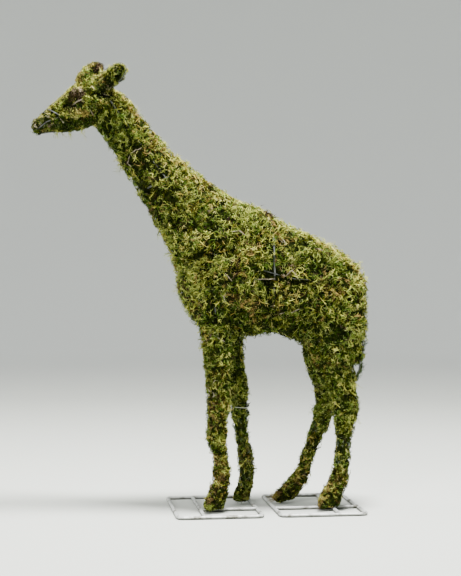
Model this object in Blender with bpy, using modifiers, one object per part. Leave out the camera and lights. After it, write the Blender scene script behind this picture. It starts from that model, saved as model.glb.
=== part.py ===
"""Mossed giraffe topiary.

Moss packed into a welded wire animal, standing on two welded rod frames.
Metres, +Z up. The animal faces -X and its left (near) side faces -Y.
"""

import math

import bmesh
import bpy
from mathutils import Vector
from mathutils.bvhtree import BVHTree

# Rod and wire. A tube's radius runs to its facets' corners.
ROD_SIDES = 8
WIRE_SIDES = 6
ROD_THICKNESS = 0.007
INNER_ROD_THICKNESS = 0.0066
WIRE_RADIUS = 0.0017
GAP = 0.0004
SOLE_Z = ROD_THICKNESS + GAP

# Base frames, on rod centre lines
FRONT_FRAME_X = (-0.055, 0.110)
REAR_FRAME_X = (0.146, 0.315)
FRAME_HALF_WIDTH = 0.1205
FRAME_CORNER_RADIUS = 0.010
FRONT_CROSS_X = -0.003
REAR_CROSS_X = 0.262
RAIL_Y = -0.034

# Stance
TRACK_HALF = 0.047
SHOULDER_HALF = 0.040

# Moss mesh
VOXEL = 0.0045
MOSS_FACES = 3150

# Rows of the moss profile: (x, z_low, z_high, half_width) on upright sections
HEAD_ROWS = (
    (-0.331, 0.752, 0.771, 0.008),
    (-0.318, 0.750, 0.783, 0.016),
    (-0.300, 0.753, 0.801, 0.020),
    (-0.280, 0.755, 0.819, 0.025),
    (-0.260, 0.757, 0.839, 0.031),
    (-0.238, 0.762, 0.852, 0.035),
    (-0.215, 0.770, 0.861, 0.036),
    (-0.190, 0.776, 0.858, 0.034),
    (-0.172, 0.784, 0.842, 0.028),
)
TRUNK_ROWS = (
    (-0.038, 0.428, 0.492, 0.034),
    (-0.018, 0.388, 0.540, 0.054),
    (0.010, 0.360, 0.592, 0.068),
    (0.050, 0.345, 0.623, 0.076),
    (0.095, 0.351, 0.617, 0.079),
    (0.145, 0.355, 0.591, 0.079),
    (0.195, 0.341, 0.564, 0.079),
    (0.245, 0.318, 0.541, 0.079),
    (0.285, 0.312, 0.516, 0.074),
    (0.314, 0.322, 0.499, 0.062),
    (0.330, 0.344, 0.480, 0.046),
)

# Rows on sections square to the path: (x, z, half_thickness, half_width)
NECK_ROWS = (
    (-0.183, 0.806, 0.043, 0.034),
    (-0.154, 0.769, 0.044, 0.035),
    (-0.126, 0.727, 0.047, 0.038),
    (-0.097, 0.686, 0.052, 0.042),
    (-0.066, 0.650, 0.060, 0.048),
    (-0.036, 0.614, 0.070, 0.056),
    (-0.005, 0.581, 0.082, 0.064),
    (0.020, 0.545, 0.090, 0.070),
    (0.034, 0.492, 0.079, 0.070),
)
NEAR_FORE_ROWS = (
    (0.030, 0.430, 0.046, 0.030),
    (0.029, 0.350, 0.033, 0.030),
    (0.029, 0.290, 0.026, 0.025),
    (0.028, 0.240, 0.0205, 0.021),
    (0.028, 0.190, 0.0185, 0.019),
    (0.028, 0.146, 0.0195, 0.019),
    (0.035, 0.110, 0.0155, 0.016),
    (0.038, 0.075, 0.0175, 0.017),
    (0.033, 0.045, 0.0200, 0.019),
    (0.021, 0.012, 0.0220, 0.020),
)
FAR_FORE_ROWS = (
    (0.062, 0.430, 0.044, 0.030),
    (0.066, 0.350, 0.030, 0.030),
    (0.073, 0.290, 0.0235, 0.025),
    (0.083, 0.240, 0.0200, 0.020),
    (0.088, 0.185, 0.0180, 0.018),
    (0.091, 0.140, 0.0140, 0.016),
    (0.099, 0.100, 0.0155, 0.016),
    (0.102, 0.068, 0.0160, 0.016),
    (0.099, 0.042, 0.0160, 0.017),
    (0.089, 0.012, 0.0200, 0.019),
)
NEAR_HIND_ROWS = (
    (0.266, 0.400, 0.068, 0.038),
    (0.266, 0.335, 0.056, 0.034),
    (0.264, 0.290, 0.0425, 0.029),
    (0.280, 0.248, 0.0260, 0.022),
    (0.289, 0.207, 0.0275, 0.021),
    (0.286, 0.165, 0.0190, 0.018),
    (0.283, 0.125, 0.0145, 0.016),
    (0.279, 0.085, 0.0165, 0.017),
    (0.270, 0.050, 0.0200, 0.019),
    (0.252, 0.012, 0.0235, 0.021),
)
FAR_HIND_ROWS = (
    (0.262, 0.400, 0.068, 0.038),
    (0.262, 0.340, 0.050, 0.034),
    (0.262, 0.285, 0.039, 0.029),
    (0.265, 0.235, 0.0225, 0.021),
    (0.2615, 0.185, 0.0205, 0.019),
    (0.249, 0.145, 0.0170, 0.017),
    (0.230, 0.100, 0.0135, 0.015),
    (0.218, 0.065, 0.0150, 0.016),
    (0.203, 0.040, 0.0190, 0.018),
    (0.176, 0.012, 0.0210, 0.020),
)

# Ears: (x, y, z, half_thickness across the leaf, half_depth)
NEAR_EAR_ROWS = (
    (-0.200, -0.022, 0.843, 0.014, 0.013),
    (-0.187, -0.030, 0.852, 0.0190, 0.013),
    (-0.171, -0.038, 0.863, 0.0205, 0.012),
    (-0.157, -0.045, 0.876, 0.0135, 0.009),
)
FAR_EAR_ROWS = (
    (-0.226, 0.020, 0.850, 0.021, 0.016),
    (-0.222, 0.027, 0.866, 0.019, 0.015),
    (-0.212, 0.034, 0.879, 0.0165, 0.013),
    (-0.201, 0.041, 0.888, 0.0125, 0.010),
)
FOREHEAD = ((-0.229, -0.004, 0.857), (0.018, 0.018, 0.018))
NEAR_EYE = ((-0.246, -0.027, 0.825), (0.013, 0.010, 0.012))
FAR_EYE = ((-0.246, 0.027, 0.825), (0.013, 0.010, 0.012))
NEAR_EAR_HOLLOW = ((-0.172, -0.055, 0.857), (0.020, 0.013, 0.011), -40)
FAR_EAR_HOLLOW = ((-0.199, 0.054, 0.884), (0.014, 0.012, 0.008), -45)


def clear_scene():
    for item in list(bpy.data.objects):
        bpy.data.objects.remove(item, do_unlink=True)


def make_collection(name):
    group = bpy.data.collections.new(name)
    bpy.context.scene.collection.children.link(group)
    return group


def make_material(name, colour, metallic, roughness):
    material = bpy.data.materials.new(name)
    material.use_nodes = True
    shader = material.node_tree.nodes["Principled BSDF"]
    shader.inputs["Base Color"].default_value = (*colour, 1.0)
    shader.inputs["Metallic"].default_value = metallic
    shader.inputs["Roughness"].default_value = roughness
    return material


def add_object(name, mesh, group):
    item = bpy.data.objects.new(name, mesh)
    group.objects.link(item)
    return item


def mesh_from(work, name):
    bmesh.ops.recalc_face_normals(work, faces=work.faces)
    if work.calc_volume(signed=True) < 0:
        bmesh.ops.reverse_faces(work, faces=work.faces)
    mesh = bpy.data.meshes.new(name)
    work.to_mesh(mesh)
    work.free()
    return mesh


def spline(rows, spans):
    """Rows carried smoothly from the first to the last (Catmull-Rom)."""
    found = []
    last = len(rows) - 1
    for i in range(last):
        around = [rows[max(0, min(last, i + k))] for k in (-1, 0, 1, 2)]
        for step in range(spans):
            found.append(between(around, step / spans))
    found.append(tuple(rows[-1]))
    return found


def between(around, t):
    values = []
    for a, b, c, d in zip(*around):
        bend = 2 * b + (c - a) * t
        bend += (2 * a - 5 * b + 4 * c - d) * t * t
        bend += (3 * b - a - 3 * c + d) * t * t * t
        values.append(bend / 2)
    return tuple(values)


def ring(work, centre, across, side, count, power=2.0):
    """One closed loop of vertices on a superellipse."""
    found = []
    for k in range(count):
        turn = 2 * math.pi * k / count
        u = math.copysign(abs(math.cos(turn)) ** (2 / power), math.cos(turn))
        v = math.copysign(abs(math.sin(turn)) ** (2 / power), math.sin(turn))
        found.append(work.verts.new(centre + across * u + side * v))
    return found


def bridge(work, first, second):
    count = len(first)
    for k in range(count):
        j = (k + 1) % count
        work.faces.new((first[k], first[j], second[j], second[k]))


def cap(work, loop, point):
    tip = work.verts.new(point)
    for k in range(len(loop)):
        work.faces.new((loop[k], loop[(k + 1) % len(loop)], tip))


def skin(sections, power=2.0, bulge=0.8, count=24):
    """A closed body through sections (centre, across, side) with round ends."""
    work = bmesh.new()
    steps = 3
    first, last = sections[0], sections[-1]
    ahead = (sections[1][0] - first[0]).normalized()
    behind = (last[0] - sections[-2][0]).normalized()
    loops = []
    for k in range(steps, 0, -1):
        loops.append(domed(first, -ahead * bulge, k / (steps + 1)))
    loops.extend(sections)
    for k in range(1, steps + 1):
        loops.append(domed(last, behind * bulge, k / (steps + 1)))
    rings = [ring(work, c, a, s, count, power) for c, a, s in loops]
    for one, two in zip(rings, rings[1:]):
        bridge(work, one, two)
    cap(work, rings[0], first[0] - ahead * bulge * end_radius(first))
    cap(work, rings[-1], last[0] + behind * bulge * end_radius(last))
    return work


def end_radius(section):
    return min(section[1].length, section[2].length)


def domed(section, outward, part):
    centre, across, side = section
    turn = part * math.pi / 2
    moved = centre + outward * end_radius(section) * math.sin(turn)
    return moved, across * math.cos(turn), side * math.cos(turn)


def upright_body(rows, power=2.2):
    sections = []
    for x, low, high, half in spline(rows, 4):
        centre = Vector((x, 0.0, (low + high) / 2))
        up = Vector((0.0, 0.0, (high - low) / 2))
        sections.append((centre, up, Vector((0.0, half, 0.0))))
    return skin(sections, power, 0.25)


def path_body(rows):
    """Rows are (x, y, z, half_thickness, half_width)."""
    rows = spline(rows, 4)
    sections = []
    for i, row in enumerate(rows):
        before = Vector(rows[max(i - 1, 0)][:3])
        after = Vector(rows[min(i + 1, len(rows) - 1)][:3])
        along = (after - before).normalized()
        across = Vector((0.0, 1.0, 0.0)).cross(along).normalized()
        side = along.cross(across)
        sections.append((Vector(row[:3]), across * row[3], side * row[4]))
    return skin(sections)


def leg_rows(rows, side):
    """A leg leans out from the shoulder to the track as it comes down."""
    top = rows[0][1]
    found = []
    for x, z, thick, wide in rows:
        drop = min(1.0, (top - z) / 0.25)
        y = side * (SHOULDER_HALF + (TRACK_HALF - SHOULDER_HALF) * drop)
        found.append((x, y, z, thick, wide))
    return found


def ball(centre, radii, tilt=0.0):
    work = bmesh.new()
    bmesh.ops.create_uvsphere(work, u_segments=20, v_segments=12, radius=1.0)
    turn = math.radians(tilt)
    for v in work.verts:
        x, y, z = (v.co[k] * radii[k] for k in range(3))
        v.co.x = centre[0] + x * math.cos(turn) + z * math.sin(turn)
        v.co.y = centre[1] + y
        v.co.z = centre[2] - x * math.sin(turn) + z * math.cos(turn)
    return work


def moss_volumes():
    """Every overlapping volume that the moss mass is merged from."""
    bodies = [upright_body(HEAD_ROWS), upright_body(TRUNK_ROWS, 2.4)]
    bodies.append(path_body([(x, 0.0, z, t, w) for x, z, t, w in NECK_ROWS]))
    bodies.append(path_body(leg_rows(NEAR_FORE_ROWS, -1)))
    bodies.append(path_body(leg_rows(FAR_FORE_ROWS, 1)))
    bodies.append(path_body(leg_rows(NEAR_HIND_ROWS, -1)))
    bodies.append(path_body(leg_rows(FAR_HIND_ROWS, 1)))
    bodies.append(path_body(NEAR_EAR_ROWS))
    bodies.append(path_body(FAR_EAR_ROWS))
    bodies.append(ball(*FOREHEAD))
    bodies.append(ball(*NEAR_EYE))
    bodies.append(ball(*FAR_EYE))
    return bodies


def settled(item):
    """The object's mesh with its modifiers carried out."""
    graph = bpy.context.evaluated_depsgraph_get()
    mesh = bpy.data.meshes.new_from_object(item.evaluated_get(graph))
    item.modifiers.clear()
    item.data = mesh
    return item


def combine(item, other, operation):
    step = item.modifiers.new(operation.lower(), "BOOLEAN")
    step.operation = operation
    step.solver = "EXACT"
    step.use_self = True
    step.object = other
    bpy.context.view_layer.update()
    return settled(item)


def build_moss(group, cutters):
    merged = bmesh.new()
    for body in moss_volumes():
        piece = mesh_from(body, "volume")
        merged.from_mesh(piece)
        bpy.data.meshes.remove(piece)
    moss = add_object("moss_body", mesh_from(merged, "moss_body"), group)
    fuse = moss.modifiers.new("fuse", "REMESH")
    fuse.mode = "VOXEL"
    fuse.voxel_size = VOXEL
    relax = moss.modifiers.new("relax", "SMOOTH")
    relax.factor = 0.5
    relax.iterations = 5
    settled(moss)
    for hollow in (NEAR_EAR_HOLLOW, FAR_EAR_HOLLOW):
        cutter = add_object("ear_hollow", mesh_from(ball(*hollow), "ear_hollow"), cutters)
        combine(moss, cutter, "DIFFERENCE")
    lighten = moss.modifiers.new("lighten", "DECIMATE")
    lighten.ratio = MOSS_FACES / len(moss.data.polygons) / 2
    settled(moss)
    flatten_soles(moss)
    return moss


def flatten_soles(moss):
    work = bmesh.new()
    work.from_mesh(moss.data)
    parts = list(work.verts) + list(work.edges) + list(work.faces)
    sole = Vector((0.0, 0.0, SOLE_Z))
    bmesh.ops.bisect_plane(
        work, geom=parts, plane_co=sole, plane_no=(0, 0, -1), clear_outer=True
    )
    open_edges = [e for e in work.edges if e.is_boundary]
    bmesh.ops.edgenet_fill(work, edges=open_edges)
    bmesh.ops.triangulate(work, faces=work.faces)
    old = moss.data
    moss.data = mesh_from(work, "moss_body")
    bpy.data.meshes.remove(old)


def sweep(points, radius, sides=6, closed=False):
    """A tube along points. A level one has a flat facet underneath."""
    work = bmesh.new()
    count = len(points)
    rings = []
    side = loop_axis(points) if closed else None
    for i, point in enumerate(points):
        before = points[(i - 1) % count if closed else max(i - 1, 0)]
        after = points[(i + 1) % count if closed else min(i + 1, count - 1)]
        along = (after - before).normalized()
        if closed:
            side = loop_axis(points)
        if side is None:
            side = along.cross(Vector((0, 0, 1)))
            if side.length < 0.2:
                side = along.cross(Vector((0, 1, 0)))
        side = (side - along * side.dot(along)).normalized()
        up = side.cross(along)
        loop = []
        for k in range(sides):
            turn = 2 * math.pi * (k + 0.5) / sides
            reach = side * math.cos(turn) + up * math.sin(turn)
            loop.append(work.verts.new(point + reach * radius))
        rings.append(loop)
    for one, two in zip(rings, rings[1:]):
        bridge(work, one, two)
    if closed:
        bridge(work, rings[-1], rings[0])
    else:
        work.faces.new(list(reversed(rings[0])))
        work.faces.new(rings[-1])
    return work


def loop_axis(points):
    """The direction a closed run of points turns about."""
    axis = Vector((0.0, 0.0, 0.0))
    for i, point in enumerate(points):
        axis += (points[i - 1] - points[0]).cross(point - points[0])
    return axis.normalized()


def spaced(rows, step, closed=False):
    """Points at equal steps along a smooth line through the rows."""
    rows = [tuple(row) for row in rows]
    if closed:
        rows = rows + rows[:1]
    fine = [Vector(row) for row in spline(rows, 12)]
    lengths = [0.0]
    for one, two in zip(fine, fine[1:]):
        lengths.append(lengths[-1] + (two - one).length)
    count = max(3, round(lengths[-1] / step))
    found = []
    for k in range(count if closed else count + 1):
        want = lengths[-1] * k / count
        i = max(j for j in range(len(fine)) if lengths[j] <= want + 1e-9)
        i = min(i, len(fine) - 2)
        part = (want - lengths[i]) / (lengths[i + 1] - lengths[i])
        found.append(fine[i].lerp(fine[i + 1], part))
    return found


def laid_on(surface, points, lift=0.0010):
    """Each point moved to the moss surface, standing off by lift."""
    found = []
    for point in points:
        place, normal = surface.find_nearest(point)[:2]
        found.append(place + normal * lift)
    return found


def hoop_points(centre, along, radii, count=16):
    """A loop of points square to the direction along, which lies in XZ."""
    along = Vector(along).normalized()
    across = Vector((0, 1, 0)).cross(along)
    found = []
    for k in range(count):
        turn = 2 * math.pi * k / count
        reach = across * math.cos(turn) * radii[0]
        reach += Vector((0, 1, 0)) * math.sin(turn) * radii[1]
        found.append(Vector(centre) + reach)
    return found


def weld(name, runs, group):
    """One solid from several tubes. runs holds (points, closed)."""
    item = None
    for points, closed in runs:
        tube = sweep(points, WIRE_RADIUS, WIRE_SIDES, closed)
        piece = add_object(name, mesh_from(tube, name), group)
        if item is None:
            item = piece
            continue
        combine(item, piece, "UNION")
        bpy.data.objects.remove(piece)
    item.name = name
    return item


def groove(moss, runs, cutters):
    """Room for the wires, a gap wider than them all round and at their ends."""
    radius = (WIRE_RADIUS + GAP) / math.cos(math.pi / WIRE_SIDES)
    for points, closed in runs:
        if not closed:
            points = lengthened(points)
        tube = sweep(points, radius, WIRE_SIDES, closed)
        cutter = add_object("groove", mesh_from(tube, "groove"), cutters)
        combine(moss, cutter, "DIFFERENCE")


def drop_crumbs(moss):
    """Keep the moss body and leave out any crumb a groove cut loose."""
    work = bmesh.new()
    work.from_mesh(moss.data)
    left = set(work.verts)
    groups = []
    while left:
        found = {left.pop()}
        edge = set(found)
        while edge:
            around = {e.other_vert(v) for v in edge for e in v.link_edges}
            edge = around - found
            found |= edge
        left -= found
        groups.append(found)
    groups.sort(key=len)
    for group in groups[:-1]:
        bmesh.ops.delete(work, geom=list(group), context="VERTS")
    moss.data = mesh_from(work, "moss_body")


def lengthened(points):
    start = (points[0] - points[1]).normalized() * GAP
    end = (points[-1] - points[-2]).normalized() * GAP
    return [points[0] + start] + points[1:-1] + [points[-1] + end]


def both_sides(rows):
    """A run on the near side and its twin on the far side."""
    return [list(rows), [(x, -y, z) for x, y, z in rows]]


def head_runs(surface):
    runs = []
    rim = [(-0.268, 0, 0.833), (-0.286, 0, 0.815), (-0.306, 0, 0.797), (-0.326, 0, 0.780)]
    rim += [(-0.336, 0, 0.766), (-0.331, 0, 0.750), (-0.312, 0, 0.750), (-0.286, 0, 0.754)]
    runs.append((laid_on(surface, spaced(rim, 0.015)), False))
    cheek = [(-0.331, 0.0, 0.754), (-0.321, -0.02, 0.757), (-0.312, -0.03, 0.764)]
    cheek += [(-0.296, -0.03, 0.775), (-0.277, -0.04, 0.781), (-0.255, -0.05, 0.783)]
    bridle = [(-0.305, 0.0, 0.799), (-0.291, -0.03, 0.789), (-0.278, -0.04, 0.781)]
    for rows in both_sides(cheek) + both_sides(bridle):
        runs.append((laid_on(surface, spaced(rows, 0.016)), False))
    return runs


def neck_runs(surface):
    runs = []
    side = [(-0.178, -0.06, 0.818), (-0.160, -0.06, 0.792), (-0.126, -0.06, 0.741)]
    side += [(-0.094, -0.07, 0.697), (-0.066, -0.08, 0.656), (-0.030, -0.09, 0.612)]
    for rows in both_sides(side):
        runs.append((laid_on(surface, spaced(rows, 0.022)), False))
    for centre, radius in (((-0.121, 0, 0.720), 0.06), ((-0.078, 0, 0.663), 0.07)):
        loop = hoop_points(centre, (0.56, 0, -0.83), (radius, radius))
        runs.append((laid_on(surface, spaced(laid_on(surface, loop), 0.021, True)), True))
    return runs


def trunk_runs(surface):
    runs = []
    side = [(-0.020, -0.12, 0.518), (0.030, -0.12, 0.508), (0.080, -0.12, 0.493)]
    side += [(0.127, -0.12, 0.474), (0.180, -0.12, 0.466), (0.235, -0.12, 0.463)]
    for rows in both_sides(side):
        runs.append((laid_on(surface, spaced(rows, 0.026)), False))
    loop = hoop_points((0.140, 0, 0.47), (1, 0, 0), (0.12, 0.09))
    runs.append((laid_on(surface, spaced(laid_on(surface, loop), 0.026, True)), True))
    return runs


def fore_run(surface, side, shift):
    rows = [(0.018 + shift * 0.55, side * 0.09, 0.412), (0.022 + shift * 0.7, side * 0.09, 0.350)]
    rows += [(0.024 + shift, side * 0.08, 0.290), (0.022 + shift * 1.3, side * 0.08, 0.230)]
    return [(laid_on(surface, spaced(rows, 0.026)), False)]


def thigh_run(side, shift):
    """A bowed wire that stands clear of the moss behind the thigh."""
    rows = [(0.325, 0.348), (0.323, 0.325), (0.3185, 0.302), (0.316, 0.280), (0.305, 0.256)]
    points = [(x + shift, side * 0.045, z) for x, z in rows]
    return [(spaced(points, 0.014), False)]


def near_ear_run(surface):
    rows = [(-0.199, -0.034, 0.866), (-0.177, -0.045, 0.881), (-0.158, -0.05, 0.890)]
    rows += [(-0.144, -0.05, 0.884), (-0.152, -0.05, 0.866), (-0.165, -0.045, 0.845)]
    return [(laid_on(surface, spaced(rows, 0.012)), False)]


def far_ear_run(surface):
    rows = [(-0.215, 0.045, 0.899), (-0.196, 0.048, 0.900), (-0.186, 0.048, 0.886)]
    rows += [(-0.197, 0.044, 0.870)]
    return [(laid_on(surface, spaced(rows, 0.009)), False)]


def rectangle(x_span, half_width, corner, z, steps=2):
    found = []
    spots = ((1, -1, -90), (1, 1, 0), (-1, 1, 90), (-1, -1, 180))
    for sx, sy, start in spots:
        edge = x_span[1] if sx > 0 else x_span[0]
        cx = edge - sx * corner
        cy = sy * (half_width - corner)
        for k in range(steps + 1):
            turn = math.radians(start + 90 * k / steps)
            x = cx + corner * math.cos(turn)
            found.append(Vector((x, cy + corner * math.sin(turn), z)))
    return found


def build_frame(name, x_span, cross_x, rail_from, group):
    z = ROD_THICKNESS / 2
    corner = math.cos(math.pi / ROD_SIDES)
    loop = rectangle(x_span, FRAME_HALF_WIDTH, FRAME_CORNER_RADIUS, z)
    tube = sweep(loop, z / corner, ROD_SIDES, True)
    item = add_object(name, mesh_from(tube, name), group)
    ends = ((cross_x, -FRAME_HALF_WIDTH), (cross_x, FRAME_HALF_WIDTH))
    rail = ((rail_from, RAIL_Y), (x_span[1], RAIL_Y))
    for start, end in (ends, rail):
        points = [Vector((*start, z)), Vector((*end, z))]
        tube = sweep(points, INNER_ROD_THICKNESS / 2 / corner, ROD_SIDES)
        bar = add_object(name, mesh_from(tube, name), group)
        combine(item, bar, "UNION")
        bpy.data.objects.remove(bar)
    item.name = name
    return item


def centre_on_origin(items):
    """Moves everything so that the origin is under the middle of the whole."""
    spots = [v.co for item in items for v in item.data.vertices]
    xs = [spot.x for spot in spots]
    ys = [spot.y for spot in spots]
    shift = Vector((-(min(xs) + max(xs)) / 2, -(min(ys) + max(ys)) / 2, 0.0))
    for item in items:
        for v in item.data.vertices:
            v.co += shift
    print("moved by", [round(value, 5) for value in shift])


def main():
    clear_scene()
    group = make_collection("mossed_giraffe_topiary")
    cutters = make_collection("cutters")
    moss_look = make_material("moss", (0.16, 0.20, 0.03), 0.0, 0.95)
    steel_look = make_material("weathered_steel", (0.42, 0.43, 0.42), 0.8, 0.55)
    moss = build_moss(group, cutters)
    surface = BVHTree.FromPolygons(
        [v.co.copy() for v in moss.data.vertices],
        [tuple(p.vertices) for p in moss.data.polygons],
    )
    wires = {
        "head_wires": head_runs(surface),
        "near_ear_rim": near_ear_run(surface),
        "far_ear_rim": far_ear_run(surface),
        "neck_wires": neck_runs(surface),
        "trunk_wires": trunk_runs(surface),
        "near_fore_wire": fore_run(surface, -1, 0.0),
        "far_fore_wire": fore_run(surface, 1, 0.04),
        "near_thigh_wire": thigh_run(-1, 0.0),
        "far_thigh_wire": thigh_run(1, -0.012),
    }
    moss.data.materials.append(moss_look)
    for name, runs in wires.items():
        groove(moss, runs, cutters)
        weld(name, runs, group).data.materials.append(steel_look)
    drop_crumbs(moss)
    front = build_frame("front_base_frame", FRONT_FRAME_X, FRONT_CROSS_X, FRONT_CROSS_X, group)
    rear = build_frame("rear_base_frame", REAR_FRAME_X, REAR_CROSS_X, REAR_FRAME_X[0], group)
    for frame in (front, rear):
        frame.data.materials.append(steel_look)
    centre_on_origin(list(group.objects))
    for item in cutters.objects:
        item.hide_render = True
        item.display_type = "WIRE"


main()
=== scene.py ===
"""Mossed giraffe topiary: the looks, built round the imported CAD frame."""
import math

import bpy
import numpy as np
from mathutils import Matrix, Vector, noise
from mathutils.bvhtree import BVHTree


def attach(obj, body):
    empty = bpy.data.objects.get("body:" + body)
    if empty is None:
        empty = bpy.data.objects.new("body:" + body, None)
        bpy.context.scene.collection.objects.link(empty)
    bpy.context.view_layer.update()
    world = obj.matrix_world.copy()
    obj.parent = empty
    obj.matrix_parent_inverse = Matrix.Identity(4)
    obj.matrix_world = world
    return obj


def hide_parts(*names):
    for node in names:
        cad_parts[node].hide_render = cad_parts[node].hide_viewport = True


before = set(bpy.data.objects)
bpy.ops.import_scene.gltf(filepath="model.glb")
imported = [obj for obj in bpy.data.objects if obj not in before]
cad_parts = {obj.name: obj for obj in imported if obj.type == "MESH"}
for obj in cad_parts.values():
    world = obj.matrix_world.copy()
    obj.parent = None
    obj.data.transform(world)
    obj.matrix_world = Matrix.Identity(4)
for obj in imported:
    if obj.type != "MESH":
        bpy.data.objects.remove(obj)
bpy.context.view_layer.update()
rng = np.random.default_rng(20)

# Lengths are in metres here, and in millimetres in the tables of places below.
BED_VOXEL = 0.0024
BED_TRIANGLES = 38000
WELD = 0.00002
STRANDS = 29000
CLUMP = 11
LOOSE = 0.33
SEGMENTS = 3
SHOOTS = 4
SHOOT_GLOW = 0.42
FLOOR_GAP = 0.0004
INSET_BODY = 0.0060
INSET_LEGS = 0.0021
INSET_HEAD = 0.0010

# Where the regions of the body meet.
LEG_TOP = 0.330
HIND_X = 0.125
CROWN_Z = 0.826
JAW_Z = 0.735
NAPE_X = -0.197

# ---------------------------------------------------------------- materials

HUES = [
    ("black_green", (0.017, 0.024, 0.002)),
    ("deep_green", (0.041, 0.085, 0.006)),
    ("mid_green", (0.114, 0.199, 0.024)),
    ("fresh_green", (0.235, 0.350, 0.045)),
    ("olive", (0.234, 0.266, 0.048)),
    ("yellow_green", (0.440, 0.505, 0.092)),
    ("lime_straw", (0.680, 0.690, 0.125)),
    ("straw", (0.700, 0.650, 0.240)),
    ("gold", (0.510, 0.400, 0.080)),
    ("orange_tan", (0.430, 0.295, 0.095)),
    ("rust", (0.190, 0.122, 0.050)),
    ("dark_brown", (0.070, 0.045, 0.020)),
    ("mauve_brown", (0.270, 0.185, 0.155)),
    ("pink_tan", (0.520, 0.370, 0.260)),
    ("cream", (0.700, 0.630, 0.450)),
    ("blue_green", (0.060, 0.115, 0.070)),
]
HUE = {name: i for i, (name, _) in enumerate(HUES)}
# How V lights a strand: painted shade towards the root, the full hue towards the tip.
SHADES = [
    (0.0, (0.046, 0.045, 0.005)),
    (0.25, (0.20, 0.20, 0.075)),
    (0.55, (0.62, 0.62, 0.56)),
    (1.0, (1.0, 1.0, 1.0)),
]
# Pale straw mixed into the tips: a painted highlight, as of light shining through them.
PAINTED_TIP_GLOW = (0.67, 0.70, 0.29)


def node(tree, kind, sockets=None, **values):
    """A node with its plain properties and its sockets' own values set."""
    made = tree.nodes.new(kind)
    for key, value in values.items():
        setattr(made, key, value)
    for key, value in (sockets or {}).items():
        made.inputs[key].default_value = value
    return made


def principled(name, sockets):
    """A material with one Principled shader, and its tree."""
    material = bpy.data.materials.new(name)
    material.use_nodes = True
    tree = material.node_tree
    shader = tree.nodes["Principled BSDF"]
    for key, value in sockets.items():
        shader.inputs[key].default_value = value
    return material, tree, shader


def ramp(tree, stops):
    """A colour ramp from (place, colour) stops."""
    made = node(tree, "ShaderNodeValToRGB")
    elements = made.color_ramp.elements
    while len(elements) < len(stops):
        elements.new(0.5)
    for element, (place, colour) in zip(elements, stops):
        element.position = place
        if not hasattr(colour, "__len__"):
            colour = (colour,) * 3
        element.color = (*colour, 1.0)
    return made


def strand_material():
    """Moss strands: U picks the hue; V runs from painted root shade to a painted highlight at the tip."""
    material, tree, shader = principled(
        "moss_strands", {"Roughness": 0.70, "Specular IOR Level": 0.03}
    )
    spot = node(tree, "ShaderNodeUVMap", uv_map="OFBake")
    split = node(tree, "ShaderNodeSeparateXYZ")
    count = len(HUES)
    hues = ramp(tree, [((i + 0.5) / count, c) for i, (_, c) in enumerate(HUES)])
    shades = ramp(tree, SHADES)
    # The tips ramp mixes that straw in near the top of V: the painted highlight.
    tips = ramp(tree, [(0.80, 0.0), (1.0, 0.36)])
    lit = node(tree, "ShaderNodeMix", {0: 1.0}, data_type="RGBA", blend_type="MULTIPLY")
    tip_glow_mix = node(tree, "ShaderNodeMix", {7: (*PAINTED_TIP_GLOW, 1.0)}, data_type="RGBA")
    link = tree.links.new
    link(spot.outputs[0], split.inputs[0])
    link(split.outputs[0], hues.inputs[0])
    link(split.outputs[1], shades.inputs[0])
    link(split.outputs[1], tips.inputs[0])
    link(hues.outputs[0], lit.inputs[6])
    link(shades.outputs[0], lit.inputs[7])
    link(lit.outputs[2], tip_glow_mix.inputs[6])
    link(tips.outputs[0], tip_glow_mix.inputs[0])
    link(tip_glow_mix.outputs[2], shader.inputs["Base Color"])
    return material


def mottled(name, sockets, scale, detail, stops, bump=None):
    """A material toned by one noise, which its (strength, distance) bump follows."""
    material, tree, shader = principled(name, sockets)
    place = node(tree, "ShaderNodeTexCoord")
    grain = node(tree, "ShaderNodeTexNoise", {"Scale": scale, "Detail": detail})
    tones = ramp(tree, stops)
    link = tree.links.new
    link(place.outputs["Object"], grain.inputs["Vector"])
    link(grain.outputs["Fac"], tones.inputs[0])
    link(tones.outputs[0], shader.inputs["Base Color"])
    if bump:
        relief = node(tree, "ShaderNodeBump", {"Strength": bump[0], "Distance": bump[1]})
        link(grain.outputs["Fac"], relief.inputs["Height"])
        link(relief.outputs[0], shader.inputs["Normal"])
    return material, tree, shader, place, tones


def bed_material():
    """The packed moss under the strands, near black: partly its own dark, partly painted shade for the deep
    gaps.
    """
    stops = [
        (0.30, (0.003, 0.004, 0.0008)),
        (0.50, (0.008, 0.012, 0.0016)),
        (0.62, (0.022, 0.029, 0.004)),
        (0.75, (0.028, 0.018, 0.006)),
    ]
    sockets = {"Roughness": 0.95, "Specular IOR Level": 0.02}
    return mottled("moss_bed", sockets, 160.0, 5.0, stops, (0.6, 0.0015))[0]


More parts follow.
